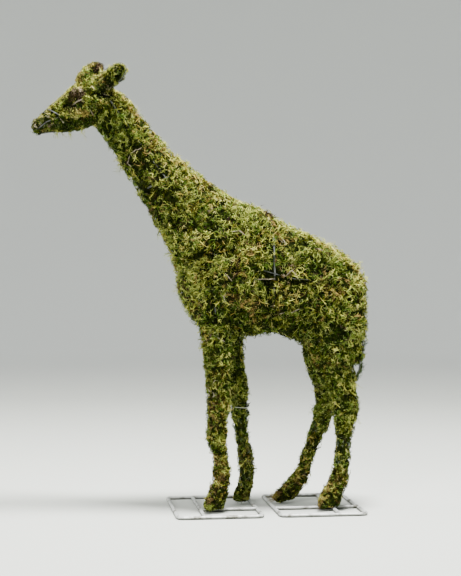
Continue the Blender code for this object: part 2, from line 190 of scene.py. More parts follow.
def steel_material(name, light, dark, scale, dirt_and_shade=None):
    """Weathered galvanised steel: mottled zinc, dull stains and a darker bottom, partly dirt, partly
    painted shade.
    """
    sockets = {"Metallic": 0.35, "Roughness": 0.55}
    stops = [(0.34, dark), (0.50, light), (0.72, light)]
    material, tree, shader, place, tones = mottled(
        name, sockets, scale, 6.0, stops, (0.35, 0.0006)
    )
    # Darker towards the bottom: partly dirt, partly painted shade under the rod, which leaves its top
    # lighter as a painted highlight.
    if dirt_and_shade:
        link = tree.links.new
        split = node(tree, "ShaderNodeSeparateXYZ")
        span = {"From Min": dirt_and_shade[0], "From Max": dirt_and_shade[1]}
        height = node(tree, "ShaderNodeMapRange", span)
        dirt_and_shade_mix = node(tree, "ShaderNodeMix", {6: (0.030, 0.030, 0.022, 1.0)}, data_type="RGBA")
        link(place.outputs["Object"], split.inputs[0])
        link(split.outputs["Z"], height.inputs["Value"])
        link(height.outputs["Result"], dirt_and_shade_mix.inputs[0])
        link(tones.outputs[0], dirt_and_shade_mix.inputs[7])
        link(dirt_and_shade_mix.outputs[2], shader.inputs["Base Color"])
    return material


# ---------------------------------------------------------------- helpers


def unit(v):
    """Rows of v scaled to length one."""
    return v / np.maximum(np.linalg.norm(v, axis=-1, keepdims=True), 1e-12)


def part(x):
    """x kept between 0 and 1."""
    return np.clip(x, 0.0, 1.0)


def away(p, middle, radius):
    """How many radii each point is from the middle, given in millimetres."""
    return np.linalg.norm(p - np.array(middle) / 1000, axis=1) / (radius / 1000)


def field(points, scale, seed):
    """Smooth noise from about -1 to 1 at each point."""
    shift = Vector((seed * 7.31, seed * -3.17, seed * 1.73))
    return np.array([noise.noise(Vector(p) * scale + shift) for p in points.tolist()])


def linked(name, data):
    """A new object in the scene."""
    made = bpy.data.objects.new(name, data)
    bpy.context.collection.objects.link(made)
    return made


def applied(source):
    """The mesh of an object with its modifiers, without the object."""
    graph = bpy.context.evaluated_depsgraph_get()
    mesh = bpy.data.meshes.new_from_object(source.evaluated_get(graph))
    bpy.data.objects.remove(source)
    return mesh


def welded(name):
    """A copy of a CAD node with its doubled corners merged."""
    copy = linked("copy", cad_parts[name].data.copy())
    copy.modifiers.new("weld", "WELD").merge_threshold = WELD
    return copy


def mesh_piece(name, points, faces, material):
    """A smooth-shaded object that rides on the body."""
    mesh = bpy.data.meshes.new(name)
    mesh.from_pydata(points, [], faces)
    mesh.materials.append(material)
    mesh.shade_smooth()
    made = linked(name, mesh)
    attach(made, "root")
    return made


def ring_faces(start, rings, sides, loop=False):
    """Quads between rings of corners, the last joined to the first in a loop."""
    faces = []
    for i in range(rings if loop else rings - 1):
        low = start + i * sides
        high = start + (i + 1) % rings * sides
        for j in range(sides):
            k = (j + 1) % sides
            faces.append((low + j, high + j, high + k, low + k))
    return faces


class Surface:
    """A closed mesh with quick nearest-point lookups."""

    def __init__(self, points, triangles, normals):
        self.points = points
        self.triangles = triangles
        self.tree = BVHTree.FromPolygons(points.tolist(), triangles.tolist())
        self.facing = unit(normals[triangles].sum(1))
        a, b, c = (points[triangles[:, i]] for i in range(3))
        self.areas = np.linalg.norm(np.cross(b - a, c - a), axis=1) / 2
        self.middles = (a + b + c) / 3

    def nearest(self, points):
        """The nearest surface point and its smooth normal, for each point."""
        spots = np.empty((len(points), 3))
        faces = np.empty(len(points), int)
        find = self.tree.find_nearest
        for i, p in enumerate(points.tolist()):
            hit = find(p)
            spots[i] = hit[0]
            faces[i] = hit[2]
        return spots, self.facing[faces]

    def scatter(self, count, weights):
        """Random points, spread by area times weight."""
        share = np.cumsum(self.areas * weights)
        picks = np.searchsorted(share, rng.random(count) * share[-1])
        a, b, c = (self.points[self.triangles[picks, i]] for i in range(3))
        r = np.sqrt(rng.random((count, 1)))
        s = rng.random((count, 1))
        spots = a * (1 - r) + b * r * (1 - s) + c * r * s
        return spots, self.facing[picks]


def node_tree(*names):
    """One lookup tree over some CAD nodes."""
    points, triangles = [], []
    for name in names:
        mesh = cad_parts[name].data
        mesh.calc_loop_triangles()
        start = len(points)
        points += [tuple(v.co) for v in mesh.vertices]
        triangles += [[start + i for i in t.vertices] for t in mesh.loop_triangles]
    return BVHTree.FromPolygons(points, triangles)


def moss_surface():
    """The CAD moss as one even mesh, its lookup surface and its normals."""
    source = welded("moss_body")
    remesh = source.modifiers.new("remesh", "REMESH")
    remesh.mode = "VOXEL"
    remesh.voxel_size = BED_VOXEL
    source.modifiers.new("smooth", "SMOOTH").iterations = 2
    mesh = applied(source)
    points, normals = np.empty((2, len(mesh.vertices), 3))
    mesh.vertices.foreach_get("co", points.ravel())
    mesh.vertices.foreach_get("normal", normals.ravel())
    mesh.calc_loop_triangles()
    triangles = np.empty((len(mesh.loop_triangles), 3), np.int32)
    mesh.loop_triangles.foreach_get("vertices", triangles.ravel())
    return mesh, Surface(points, triangles, normals), normals


def shaped(skin, normals, bare):
    """The skin with lumps, hollows at the holes, and swells over hidden wires."""
    p = skin.points
    rise = LUMP[regions(p)] * relief(p) - inset(p, normals) - crack_depth(p)
    find = bare.find_nearest
    for i, spot in enumerate(p.tolist()):
        hit = find(spot, WIRE_REACH)
        on_muzzle = spot[2] > JAW_Z and spot[0] < -0.19
        on_thigh = spot[2] <= 0.36 and spot[0] >= THIGH_X
        if hit[3] is None or on_muzzle or on_thigh:
            continue
        swell = -WIRE_GROOVE if shown_wire(hit[0]) else WIRE_SWELL * abs(normals[i, 1])
        rise[i] += (1.0 - hit[3] / WIRE_REACH) * swell
    for *middle, radius, height in DENTS:
        rise += height / 1000 * part(1.4 - away(p, middle, radius))
    return Surface(p + normals * rise[:, None], skin.triangles, normals)


def inset(p, n):
    """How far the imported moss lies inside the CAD's outline, which the tips reach."""
    body = part((p[:, 2] - 0.300) / 0.070)
    deep = INSET_LEGS + (INSET_BODY - INSET_LEGS) * body
    front = (p[:, 2] > 0.70) * part((-0.160 - p[:, 0]) / 0.040)
    head = np.maximum(front, part((p[:, 2] - 0.835) / 0.020))
    deep += (INSET_HEAD - deep) * head
    return deep * (1.0 - 0.5 * part(-n[:, 2]))


def side_distance(p, line):
    """Distance from each point to a bent line, both seen from the near side."""
    spots = p[:, [0, 2]]
    best = np.linalg.norm(spots - line[0], axis=1)
    for a, b in zip(line[:-1], line[1:]):
        t = part((spots - a) @ (b - a) / ((b - a) @ (b - a)))
        best = np.minimum(best, np.linalg.norm(spots - a - t[:, None] * (b - a), axis=1))
    return np.where(p[:, 1] < 0.0, best, 1.0)


def crack_depth(p):
    """How deep each point lies in a crack or dark spot."""
    deep = np.zeros(len(p))
    for line, width, depth in CRACKS:
        deep = np.maximum(deep, depth * part(1.4 - side_distance(p, line) / width))
    return deep


def relief(p):
    """How far the moss stands up in lumps at each point, from about -1 to 1."""
    fine = np.where(in_head(p), 0.9, 0.25)
    return field(p, 46.0, 5) + 0.6 * field(p, 105.0, 6) + fine * field(p, 190.0, 8)


def in_head(p):
    """Whether each point is on the head."""
    return (p[:, 2] > CROWN_Z) | ((p[:, 2] > JAW_Z) & (p[:, 0] < NAPE_X))


def buried(x, z):
    """Whether this is the cheek end of the mouth wire, which the moss covers."""
    return x > -0.300 and abs(z - 0.922 - 0.5 * x) < 0.0050


def shown_wire(spot):
    """Whether the moss leaves the wire bare at this place."""
    x, y, z = spot
    if buried(x, z):
        return False
    if x < -0.235 or z > 0.842:
        return noise.noise(spot * 90.0) > -0.22
    if x > THIGH_X and z < 0.40:
        return True
    if noise.noise(spot * 75.0) < -0.18:
        return False
    shift = 0.0 if y < 0 else FAR_SHIFT
    for at_x, at_z, radius in BARE_WIRE:
        if math.hypot(x - at_x - shift, z - at_z) < radius:
            return True
    return False


# ---------------------------------------------------------------- regions


def regions(p):
    """The region number of each point: see REGION_NAMES."""
    x, z = p[:, 0], p[:, 2]
    found = np.full(len(p), 2)
    found[x > HIND_X] = 3
    found[(z > 0.60) | ((x < 0.01) & (z > 0.56 - 0.9 * x))] = 1
    found[in_head(p)] = 0
    found[(z < LEG_TOP) & (x < HIND_X)] = 4
    found[(z < LEG_TOP) & (x >= HIND_X)] = 5
    return found


REGION_NAMES = ["head", "neck", "chest", "rump", "fore_legs", "hind_legs"]
# One number for each region, in that order: how many clumps, the strands' length,
# thickness and height, how much higher stray ones reach, the size of a clump, how much
# shades differ, how dark they are, how much height lightens them as painted light and shade,
# the darkest tip, how many have their clump's hue, how high the lumps are and how far down the bed lies.
DENSITY = np.array([2.35, 1.15, 1.0, 1.0, 1.50, 1.44])
LENGTH = np.array([0.0094, 0.0142, 0.0155, 0.0155, 0.0108, 0.0108])
RADIUS = np.array([0.00098, 0.00092, 0.00092, 0.00090, 0.00092, 0.00092])
HEIGHT = np.array([0.0016, 0.0042, 0.0055, 0.0055, 0.0024, 0.0024])
FLIGHT = np.array([0.0016, 0.0042, 0.0055, 0.0055, 0.0030, 0.0030])
CLUMP_SIZE = np.array([0.0060, 0.0085, 0.0098, 0.0098, 0.0095, 0.0095])
CONTRAST = np.array([1.50, 1.08, 0.99, 0.92, 1.55, 1.55])
SHADED = np.array([0.27, 0.16, -0.02, -0.02, 0.38, 0.36])
GAIN = np.array([0.16, 0.16, 0.20, 0.22, 0.08, 0.08])
DARKEST = np.array([0.25, 0.34, 0.33, 0.32, 0.25, 0.23])
FELLOWS = np.array([0.40, 0.46, 0.46, 0.46, 0.30, 0.30])
LUMP = np.array([0.0013, 0.0023, 0.0027, 0.0027, 0.0013, 0.0013])
SHRINK = np.array([0.0014, 0.0028, 0.0030, 0.0030, 0.0013, 0.0013])

WIRE_REACH = 0.012
WIRE_SWELL = 0.0034
WIRE_GROOVE = 0.0010
BARE_REACH = 0.0016
THIGH_X = 0.27
# Where the moss leaves a wire bare: x, z and radius. The far side's places lie further back.
FAR_SHIFT = 0.035
BARE_WIRE = [
    (-178, 808, 11), (-130, 732, 9), (-88, 676, 20), (137, 536, 9), (137, 520, 10), (137, 500, 12),
    (137, 480, 12), (137, 590, 10), (18, 390, 24),
]
BARE_WIRE = (np.array(BARE_WIRE) / 1000).tolist()
# A dent or a swelling: its middle, its radius and how far it rises.
DENTS = [
    (127, -78, 453, 8, -9), (175, -78, 458, 9, -6), (195, -78, 457, 9, -6), (137, -78, 430, 9, -5),
    (70, -60, 395, 10, -4), (243, -78, 425, 9, -5), (290, -65, 233, 9, -3.4), (-106, -35, 638, 10, -4),
    (-136, -21, 661, 8, -4), (-180, -30, 775, 12, -4), (-204, -34, 826, 9, -7), (-194, -34, 826, 9, -8),
    (-184, -31, 827, 9, -6), (-240, -34, 812, 5, -3), (-292, -20, 783, 6, -4), (-268, -30, 806, 5, -3),
    (-217, -20, 777, 8, -4), (-253, -34, 823, 12, 4.2), (-208, -34, 806, 13, 3.5),
    (-240, -31, 788, 7, 2.4), (-254, -31, 787, 7, 2.4), (-268, -28, 786, 6, 2),
    (-235, -29, 777, 6, -3.8), (-249, -28, 777, 6, -3.8), (-263, -26, 776, 6, -3.8),
    (-222, -33, 822, 6, -3.6), (-192, -36, 846, 8, -3), (-200, -34, 786, 7, -3.6),
    (-225, -30, 848, 12, 2), (162, 31, 18, 14, 8), (236, -62, 15, 10, 2), (-272, 0, 757, 14, 2.6),
    (-254, 0, 758, 14, 2.8), (-238, 0, 761, 13, 2.6), (-222, 0, 767, 12, 2.2), (313, -45, 318, 14, 8.5),
    (306, -45, 303, 10, 8.5), (299, -45, 268, 10, 8), (302, -45, 254, 10, 4), (301, 45, 305, 12, 6),
    (292, 45, 268, 10, 6), (-252, -34, 821, 9, 3), (48, -50, 206, 18, 6.2), (65, 24, 201, 18, 5.7),
    (102, 30, 322, 22, -5), (338, 0, 430, 45, -3), (160, 0, 580, 18, -3.5), (-160, -30, 836, 14, -4.5),
    (-150, -10, 828, 14, -3), (45, -40, 236, 18, 7), (52, -40, 224, 16, 4), (60, 22, 230, 18, 5.5),
    (258, -62, 165, 30, 2.8), (254, -62, 120, 24, 2.2), (6, -62, 20, 13, 5.5), (232, -62, 18, 13, 4.5),
    (45, -60, 170, 22, 2), (330, 0, 390, 40, -2), (-158, -47, 858, 10, -3), (-130, 0, 790, 30, -2),
    (130, -3, 590, 9, 5), (309, -45, 288, 12, 6.2), (-328, -4, 760, 13, 3.2), (-322, -4, 774, 12, 2.2),
    (130, -30, 588, 10, 5),
]

# Cracks, seen from the near side: (x, z) points, half width and depth.
# They are carved in, and the strands in them painted black-green and darker as painted shade.
CRACKS = [
    ([(-29, 504), (-16, 509), (-2, 515), (3, 509)], 3.6, 7), ([(9, 511), (27, 511), (44, 515)], 2.6, 5),
    ([(-2, 496), (3, 470), (7, 445), (13, 421)], 2.2, 4), ([(14, 415), (17, 395), (17, 380)], 3.6, 6),
    ([(125, 453)], 8, 10), ([(122, 472)], 3.8, 5),
    ([(137, 462), (152, 462), (170, 458), (208, 458)], 3, 6), ([(192, 458), (208, 458)], 4.4, 8),
    ([(135, 447), (137, 427), (140, 409)], 2.4, 4), ([(-178, 814), (-167, 793)], 3.2, 3),
    ([(-153, 771), (-167, 750)], 1.7, 3), ([(-153, 771), (-143, 760)], 1.7, 3),
    ([(-137, 740), (-122, 720)], 3.4, 3), ([(-102, 692), (-67, 651)], 3.2, 3),
    ([(-87, 661), (-71, 681)], 2.2, 3), ([(-120, 645), (-102, 634)], 2.6, 3),
    ([(-285, 792.5), (-270, 794.5), (-258, 798), (-250, 803)], 1.7, 1.6),
    ([(-286, 778), (-270, 776), (-235, 777)], 1.5, 1.5),
    ([(-316, 780), (-296, 800), (-283, 813), (-272, 825)], 1.3, 1.5),
    ([(-212, 823), (-200, 821), (-186, 822), (-179, 826)], 4.2, 3.5),
    ([(-204, 794), (-192, 796), (-184, 800)], 1.8, 2), ([(288, 233), (299, 229)], 3, 3),
]
# Dark spots are short cracks: carved in and painted dark as painted shade.
DARK_SPOTS = [
    (250, 476), (189, 530), (209, 534), (147, 513), (272, 462), (259, 387), (304, 357), (129, 367),
    (115, 377), (92, 369), (-52, 598), (-29, 525), (25, 560), (77, 480), (317, 396), (224, 504),
    (241, 496), (218, 435), (67, 496), (52, 421), (68, 361), (111, 425), (189, 377), (277, 376),
    (-108, 714), (-154, 693), (-125, 641), (-98, 608), (-81, 663), (-33, 617), (18, 245), (30, 180),
    (24, 128), (265, 205), (270, 170),
]
CRACKS += [([spot], 2.7, 5) for spot in DARK_SPOTS]
CRACKS = [(np.array(line) / 1000, w / 1000, d / 1000) for line, w, d in CRACKS]
OPEN_CRACK = 0.005
OPEN_DENT = -3.5
# Small specks of one colour, seen from the near side.
SPECKS = {
    "lime_straw": [
        (-4, 460), (-16, 537), (-17, 492), (186, 435), (278, 440), (316, 370), (27, 404), (87, 429),
        (115, 506), (247, 452), (267, 429), (-139, 691), (-68, 606), (-29, 594), (-178, 790),
        (-87, 628),
    ],
    "orange_tan": [
        (101, 519), (83, 403), (170, 476), (237, 466), (316, 476), (247, 415), (99, 395), (239, 385),
        (-19, 480), (-21, 390), (156, 553), (299, 377), (54, 433), (-82, 711), (-106, 724), (-135, 788),
        (-153, 799), (-106, 665), (-48, 617), (-34, 645), (-86, 602),
    ],
    "dark_brown": [
        (-41, 454), (-24, 421), (263, 381), (138, 415), (303, 401), (60, 433), (-43, 564),
    ],
}
SPECK_RADIUS = 0.0055
SPECK_AMOUNT = 2.0

# Patches of each hue: the middle, the radius and how strong it is.
# The yellow, lime and gold patches on the back and head tops are partly a painted highlight.
PATCHES = {
    "rust": [
        (-36, -54, 562, 12, 2), (160, -78, 470, 16, 0.8), (247, -78, 441, 20, 0.9),
        (-18, -45, 411, 18, 0.7), (270, -66, 300, 18, 0.6), (268, -62, 75, 18, 0.7),
        (240, -62, 30, 18, 1.6), (23, -66, 222, 18, 0.8), (215, 31, 75, 22, 0.6), (10, -57, 222, 10, 4),
        (21, -64, 188, 14, 2), (96, 34, 99, 11, 3),
    ],
    "orange_tan": [
        (97, -77, 519, 9, 2), (82, -70, 411, 14, 1.1), (270, -74, 445, 20, 0.7),
        (320, -45, 470, 18, 1.3), (15, -55, 614, 4, 9), (16, -57, 605, 4.5, 9),
        (160, -56, 555, 18, 0.6), (226, -61, 297, 14, 1.8), (18, -64, 150, 20, 0.4),
        (30, -62, 100, 20, 0.5), (19, -60, 57, 15, 9), (-135, -23, 792, 14, 1), (-83, -30, 712, 12, 6),
        (-120, -38, 735, 14, 0.4), (-241, -32, 791, 4.5, 14), (-229, -31, 789, 4.5, 10),
        (-236, 0, 872, 8, 2), (-200, -36, 853, 6, 4), (20, -64, 190, 10, 2), (103, 34, 96, 8, 3),
        (222, 36, 137, 9, 4), (152, 31, 32, 14, 2), (262, -58, 75, 10, 3), (238, -55, 36, 10, 2),
    ],
    # The small pink spot on the eye is a painted highlight.
    "pink_tan": [
        (166, -78, 474, 10, 0.9), (17, -59, 596, 4, 6), (19, -60, 55, 9, 7), (-242, -33, 834, 2.8, 20),
        (-186, -43, 854, 6, 2), (10, -57, 221, 6, 6),
    ],
    "yellow_green": [
        (0, -64, 470, 20, 1.6), (287, -71, 430, 20, 0.9), (-25, -26, 669, 18, 1.5),
        (190, -20, 566, 12, 3), (-290, -10, 808, 7, 4), (-278, -12, 820, 7, 4), (-256, -14, 842, 6, 3),
        (-233, -34, 812, 9, 2), (-280, -24, 797, 12, 2), (-184, -44, 873, 8, 9), (36, -67, 291, 7, 4),
        (42, -59, 257, 7, 4), (184, 36, 46, 14, 1.5), (308, -58, 197, 6, 2.5), (280, -64, 177, 9, 4),
        (292, -64, 182, 9, 4),
    ],
    "gold": [
        (10, -66, 476, 18, 0.8), (167, -77, 431, 20, 1.3), (118, -70, 549, 20, 0.6),
        (-17, -58, 537, 14, 2), (-109, -22, 752, 16, 1.2), (-50, -24, 696, 16, 2.6),
        (-5, -26, 655, 18, 1.2), (262, -30, 528, 18, 1.2), (300, -30, 500, 16, 1.5),
        (9, -68, 520, 20, 0.7), (248, -62, 40, 20, 1.8), (45, -52, 208, 14, 2), (39, -64, 283, 16, 0.7),
        (40, -60, 205, 18, 1), (211, 31, 59, 25, 0.9), (-62, -28, 698, 16, 1.6),
        (-155, -28, 807, 14, 1), (-203, -34, 804, 9, 2.5), (-235, -30, 786, 5.4, 14),
        (-250, -10, 850, 8, 3), (-243, -8, 862, 8, 3), (228, 36, 131, 10, 5), (238, 32, 125, 9, 4),
        (165, 31, 45, 14, 3), (208, 35, 69, 12, 1.5), (304, -61, 222, 6, 1.2), (308, -59, 210, 6, 1.2),
        (304, -58, 184, 6, 2.5), (275, -63, 75, 9, 2.5),
    ],
    "lime_straw": [
        (267, -77, 405, 20, 0.8), (-96, -22, 738, 16, 1.2), (199, -35, 556, 16, 2.5),
        (275, -30, 520, 16, 2), (280, -66, 254, 10, 4), (-40, -26, 680, 18, 1.6),
        (-278, -26, 786, 5.4, 14), (-267, -29, 786, 5.4, 14), (-246, -31, 785, 5.4, 14),
        (-266, -14, 832, 7, 5), (-262, -29, 808, 9, 1), (-228, 10, 880, 7, 3), (-204, -34, 862, 9, 6),
        (-192, -38, 868, 10, 9), (-174, -48, 877, 6, 5), (47, -53, 277, 7, 3), (300, -55, 246, 9, 4),
    ],
    "olive": [
        (68, -70, 559, 26, 1), (50, -45, 212, 14, 3), (64, 20, 207, 14, 2.5), (-126, -38, 690, 20, 0.8),
        (-211, -34, 806, 10, 3), (-300, -8, 797, 7, 4), (-312, -17, 774, 8, 7), (-321, -15, 768, 7, 5),
        (-190, -32, 790, 10, 2),
    ],
    # The deep green inside the near ear is painted shade.
    "deep_green": [
        (60, -74, 437, 22, 1), (222, -78, 421, 22, 0.9), (257, -76, 352, 25, 1.2),
        (288, -65, 200, 12, 1.5), (271, -62, 92, 16, 0.9), (90, 20, 270, 30, 1.2),
        (88, 28, 80, 30, 1.2), (-170, -30, 755, 22, 0.7), (-236, -19, 770, 8.5, 16),
        (-264, -22, 768, 8.5, 16), (-291, -14, 764, 7, 5), (-250, -10, 760, 10, 10),
        (-268, -29, 797, 5, 9), (-245, -33, 797, 5, 6), (-198, -37, 843, 7, 5), (-166, -45, 865, 6, 20),
        (-178, -49, 870, 4.5, 12), (-291, -22, 772, 7, 9), (90, 25, 170, 30, 1.5),
        (-300, -18, 772, 10, 2),
    ],
    "mid_green": [
        (225, -74, 490, 22, 1), (-161, -34, 778, 22, 0.8), (-250, -22, 769, 8.5, 9),
        (-232, -8, 763, 9, 6), (-224, -12, 868, 10, 5), (267, -57, 178, 9, 4),
        (-200, -30, 788, 12, 2.5),
    ],
    # The black-green in the hollow under the near ear and inside that ear is painted shade.
    "black_green": [
        (287, -65, 235, 9, 3.5), (17, -64, 28, 15, 7), (-223, -14, 769, 8.5, 6), (-278, -19, 767, 8, 6),
        (-270, -8, 758, 10, 8), (-208, -34, 831, 5, 30), (-200, -34, 828, 5.5, 30),
        (-193, -41, 846, 7, 8), (-162, -50, 874, 6, 24), (-174, -43, 860, 5.5, 14),
        (-163, -46, 861, 6, 16), (-190, -41, 848, 7, 12), (-181, -42, 846, 7, 8), (218, 44, 113, 8, 8),
        (227, 34, 112, 8, 8), (237, 34, 112, 8, 8), (176, 31, 22, 11, 3), (-318, -14, 770, 14, 3),
        (-308, -12, 788, 12, 2),
    ],
    "dark_brown": [
        (131, -32, 588, 10, 20), (-106, -35, 640, 20, 0.9), (-252, -34, 820, 10, 50),
        (-256, -31, 796, 5, 7), (-202, 34, 889, 11, 12), (-162, -51, 873, 6, 5), (-203, -36, 848, 6, 6),
        (29, -65, 32, 12, 2), (243, 34, 232, 14, 1.6), (190, 30, 30, 14, 2), (248, -66, 20, 11, 3),
    ],
    # The tiny straw spot on the near ear's rim is a painted highlight.
    "straw": [
        (-257, -30, 786, 5.4, 14), (-169, -51, 873, 2.2, 60), (-202, -38, 855, 2.4, 60),
        (-301, -20, 781, 6, 3),
    ],
    "mauve_brown": [
        (-253, -34, 821, 10.5, 14), (-180, -36, 838, 6, 8), (-166, -50, 864, 6, 3),
        (-320, -14, 773, 14, 0.6), (-300, -16, 770, 14, 0.8),
    ],
    "cream": [
        (-322, -12, 762, 5, 3), (12, -61, 248, 4, 8), (-306, -16, 780, 12, 1),
    ],
    "blue_green": [
        (262, -55, 150, 12, 3), (78, 31, 174, 12, 3), (86, 33, 133, 12, 3), (90, 33, 102, 9, 2),
        (92, 33, 68, 10, 1.5), (237, 35, 157, 12, 2.5), (268, -58, 125, 10, 3.5),
        (264, -55, 100, 10, 3.5), (85, 30, 70, 12, 1.5), (6, -60, 440, 12, 0.8),
        (-315, -12, 775, 14, 1.6),
    ],
}

# Places a little darker or (below zero) lighter: middle, radius and amount.
# Most are painted shade and painted light, such as the darker near ear, rump corner, fore shoulder
# and far hind leg; the dark eye mound and the knob on the back are the moss's own tone.
DIMMED = [
    (-222, 10, 872, 22, 0.3), (-314, -14, 774, 14, -0.22), (-258, -30, 786, 12, -0.25),
    (-277, -27, 786, 9, -0.25), (131, -30, 588, 11, 0.9), (-270, -22, 769, 14, 0.15),
    (-252, -34, 820, 12, 0.48), (-163, -48, 868, 12, 0.3), (262, 10, 340, 45, 0.2),
    (235, 31, 180, 45, 0.12), (180, 31, 30, 30, -0.18), (215, 31, 75, 30, -0.1), (90, 25, 30, 30, -0.1),
    (335, 0, 488, 36, 0.25), (246, -62, 30, 30, 0.14), (20, -62, 35, 26, 0.1), (0, -60, 392, 36, 0.24),
    (30, -70, 350, 30, 0.15), (138, -75, 452, 28, 0.2), (126, -85, 452, 12, 0.4),
    (30, -72, 290, 26, 0.12), (-85, -20, 730, 30, -0.15), (-40, -20, 686, 34, -0.15),
    (-40, -50, 470, 30, -0.12),
]


def ridge_highlight(p, n):
    """How far each point faces up and away from both sides: the ridges that get a painted highlight."""
    return (1.0 - np.abs(n[:, 1])) ** 3 * part(0.5 + n[:, 2])


def breast_highlight(p, n):
    """How far each point faces forward on the breast, which gets a painted highlight."""
    tall = (p[:, 2] > 0.40) & (p[:, 2] < 0.57) & (p[:, 0] < 0.05)
    return tall * part(-n[:, 0]) ** 1.5


def on_belly(p, n):
    """How far each point is in the shade low on the belly."""
    between = (p[:, 0] > 0.06) & (p[:, 0] < 0.29) & (p[:, 2] > LEG_TOP)
    return between * part((0.400 - p[:, 2]) / 0.035)


def on_far_foreleg(p, n):
    """Whether each point is on the foreleg of the far side, which is painted lighter against its shade."""
    return (p[:, 1] > 0.0) & (p[:, 0] < HIND_X) & (p[:, 2] < LEG_TOP)


# The hues that are more likely in some places, and how much. A place is any function
# of points and their normals.
# The lighter hues on the ridges and the breast are painted highlights, the dark greens low on the belly
# painted shade, and the lighter hues on the far foreleg painted light.
PLACE_HUES = [
    (ridge_highlight, {"lime_straw": 0.32, "straw": 0.04, "gold": 0.72, "yellow_green": 0.50}),
    (breast_highlight, {"yellow_green": 0.35, "lime_straw": 0.35}),
    (on_belly, {"black_green": 0.5, "deep_green": 0.6}),
    (on_far_foreleg, {"yellow_green": 0.25, "lime_straw": 0.15}),
]


def hue_weights(p, n):
    """How likely each hue is at each clump."""
    on_legs = p[:, 2] < LEG_TOP
    near = (0.5 * field(p, 34.0, 1) + 0.55 * relief(p)) * np.where(on_legs, 0.35, 0.9)
    even = np.where(on_legs, 0.6, 1.0)
    wide = field(p, 14.0, 2) * even
    patch = field(p, 22.0, 3) * even
    brown = field(p, 26.0, 4) * even
    up = n[:, 2]
    w = np.zeros((len(p), len(HUES)))

    def add(name, amount):
        w[:, HUE[name]] += np.maximum(amount, 0.0)

    def add_near(name, amount, radii):
        add(name, amount * np.exp(-radii**2) * (radii < 2.0))

    # Faces turned down get black and deep greens as painted shade, and faces turned up lighter, yellower
    # hues as painted light.
    under = part(-up - 0.1)
    add("black_green", 0.05 + 0.8 * under + 0.12 * (near < -0.3))
    add("deep_green", 0.16 - 0.14 * up - 0.4 * near + 0.6 * under)
    add("mid_green", 0.24 - 0.10 * up - 0.3 * wide)
    add("olive", 0.26 + 0.2 * near)
    add("yellow_green", 0.14 + 0.16 * up + 0.35 * near)
    add("fresh_green", 0.08 + 0.24 * field(p, 20.0, 9))
    add("lime_straw", 0.05 + 0.16 * np.maximum(up, 0) + 0.15 * patch)
    add("straw", 0.02 + 0.10 * np.maximum(up, 0) + 0.06 * patch)
    add("gold", 0.03 + 0.18 * wide)
    add("orange_tan", 0.02 + 0.25 * (brown - 0.2))
    add("rust", 0.03 + 0.30 * (brown - 0.2))
    add("dark_brown", 0.04 + 0.20 * brown)
    add("pink_tan", 0.004 + 0.08 * (brown - 0.3))
    add("cream", 0.003 + 0.02 * patch)
    for place, hues in PLACE_HUES:
        share = place(p, n)
        for name, amount in hues.items():
            add(name, amount * share)
    legs = part((0.34 - p[:, 2]) / 0.04)
    feet = part((0.13 - p[:, 2]) / 0.06)
    for name in ("yellow_green", "lime_straw", "straw"):
        w[:, HUE[name]] *= (1.0 - 0.25 * legs) * (1.0 - 0.5 * feet)
    hind = legs * (p[:, 0] > HIND_X)
    for name in ("gold", "orange_tan", "rust", "dark_brown"):
        w[:, HUE[name]] *= 1.0 - 0.5 * hind
    add("fresh_green", 0.10 * legs + 0.20 * hind)
    add("straw", 0.05 * legs)
    add("deep_green", 0.10 * legs + 0.10 * feet)
    add("mid_green", 0.10 * legs + 0.10 * hind)
    add("black_green", 0.08 * feet)
    add("rust", (0.16 + 0.3 * brown) * feet)
    add("dark_brown", (0.14 + 0.2 * patch) * feet)
    add("orange_tan", (0.05 + 0.2 * brown) * feet)
    p = p + n * inset(p, n)[:, None]
    for name, rows in PATCHES.items():
        for *middle, radius, amount in rows:
            add_near(name, amount, away(p, middle, radius))
    for name, spots in SPECKS.items():
        for spot in spots:
            radii = side_distance(p, np.array([spot]) / 1000) / SPECK_RADIUS
            add_near(name, SPECK_AMOUNT, radii)
    # Black-green strands in the cracks and dark spots: painted shade.
    for line, width, _ in CRACKS:
        add_near("black_green", 20.0, side_distance(p, line) / width)
    return w / w.sum(1, keepdims=True)


def choose(weights):
    """One column number for each row of weights."""
    steps = np.cumsum(weights, axis=1)
    return (rng.random((len(weights), 1)) * steps[:, -1:] > steps).sum(1)


# ---------------------------------------------------------------- strands


def march(skin, roots, normals, headings, lengths, heights, curl):
    """Curly paths that keep to a height profile over the surface."""
    count = len(roots)
    path = np.empty((count, SEGMENTS + 1, 3))
    ground, up = roots, normals
    step = (lengths / SEGMENTS)[:, None]
    wobble = rng.normal(0.0, 0.35, (count, SEGMENTS))
    for i in range(SEGMENTS + 1):
        path[:, i] = ground + up * heights[:, i : i + 1]
        if i == SEGMENTS:
            break
        turn = (curl / SEGMENTS + wobble[:, i])[:, None]
        side = np.cross(up, headings)
        headings = headings * np.cos(turn) + side * np.sin(turn)
        ground, up = skin.nearest(ground + headings * step)
        headings = along_skin(headings, up)
    return path


def along_skin(v, up):
    """Rows of v laid flat on the skin and scaled to length one."""
    return unit(v - up * (v * up).sum(1, keepdims=True))


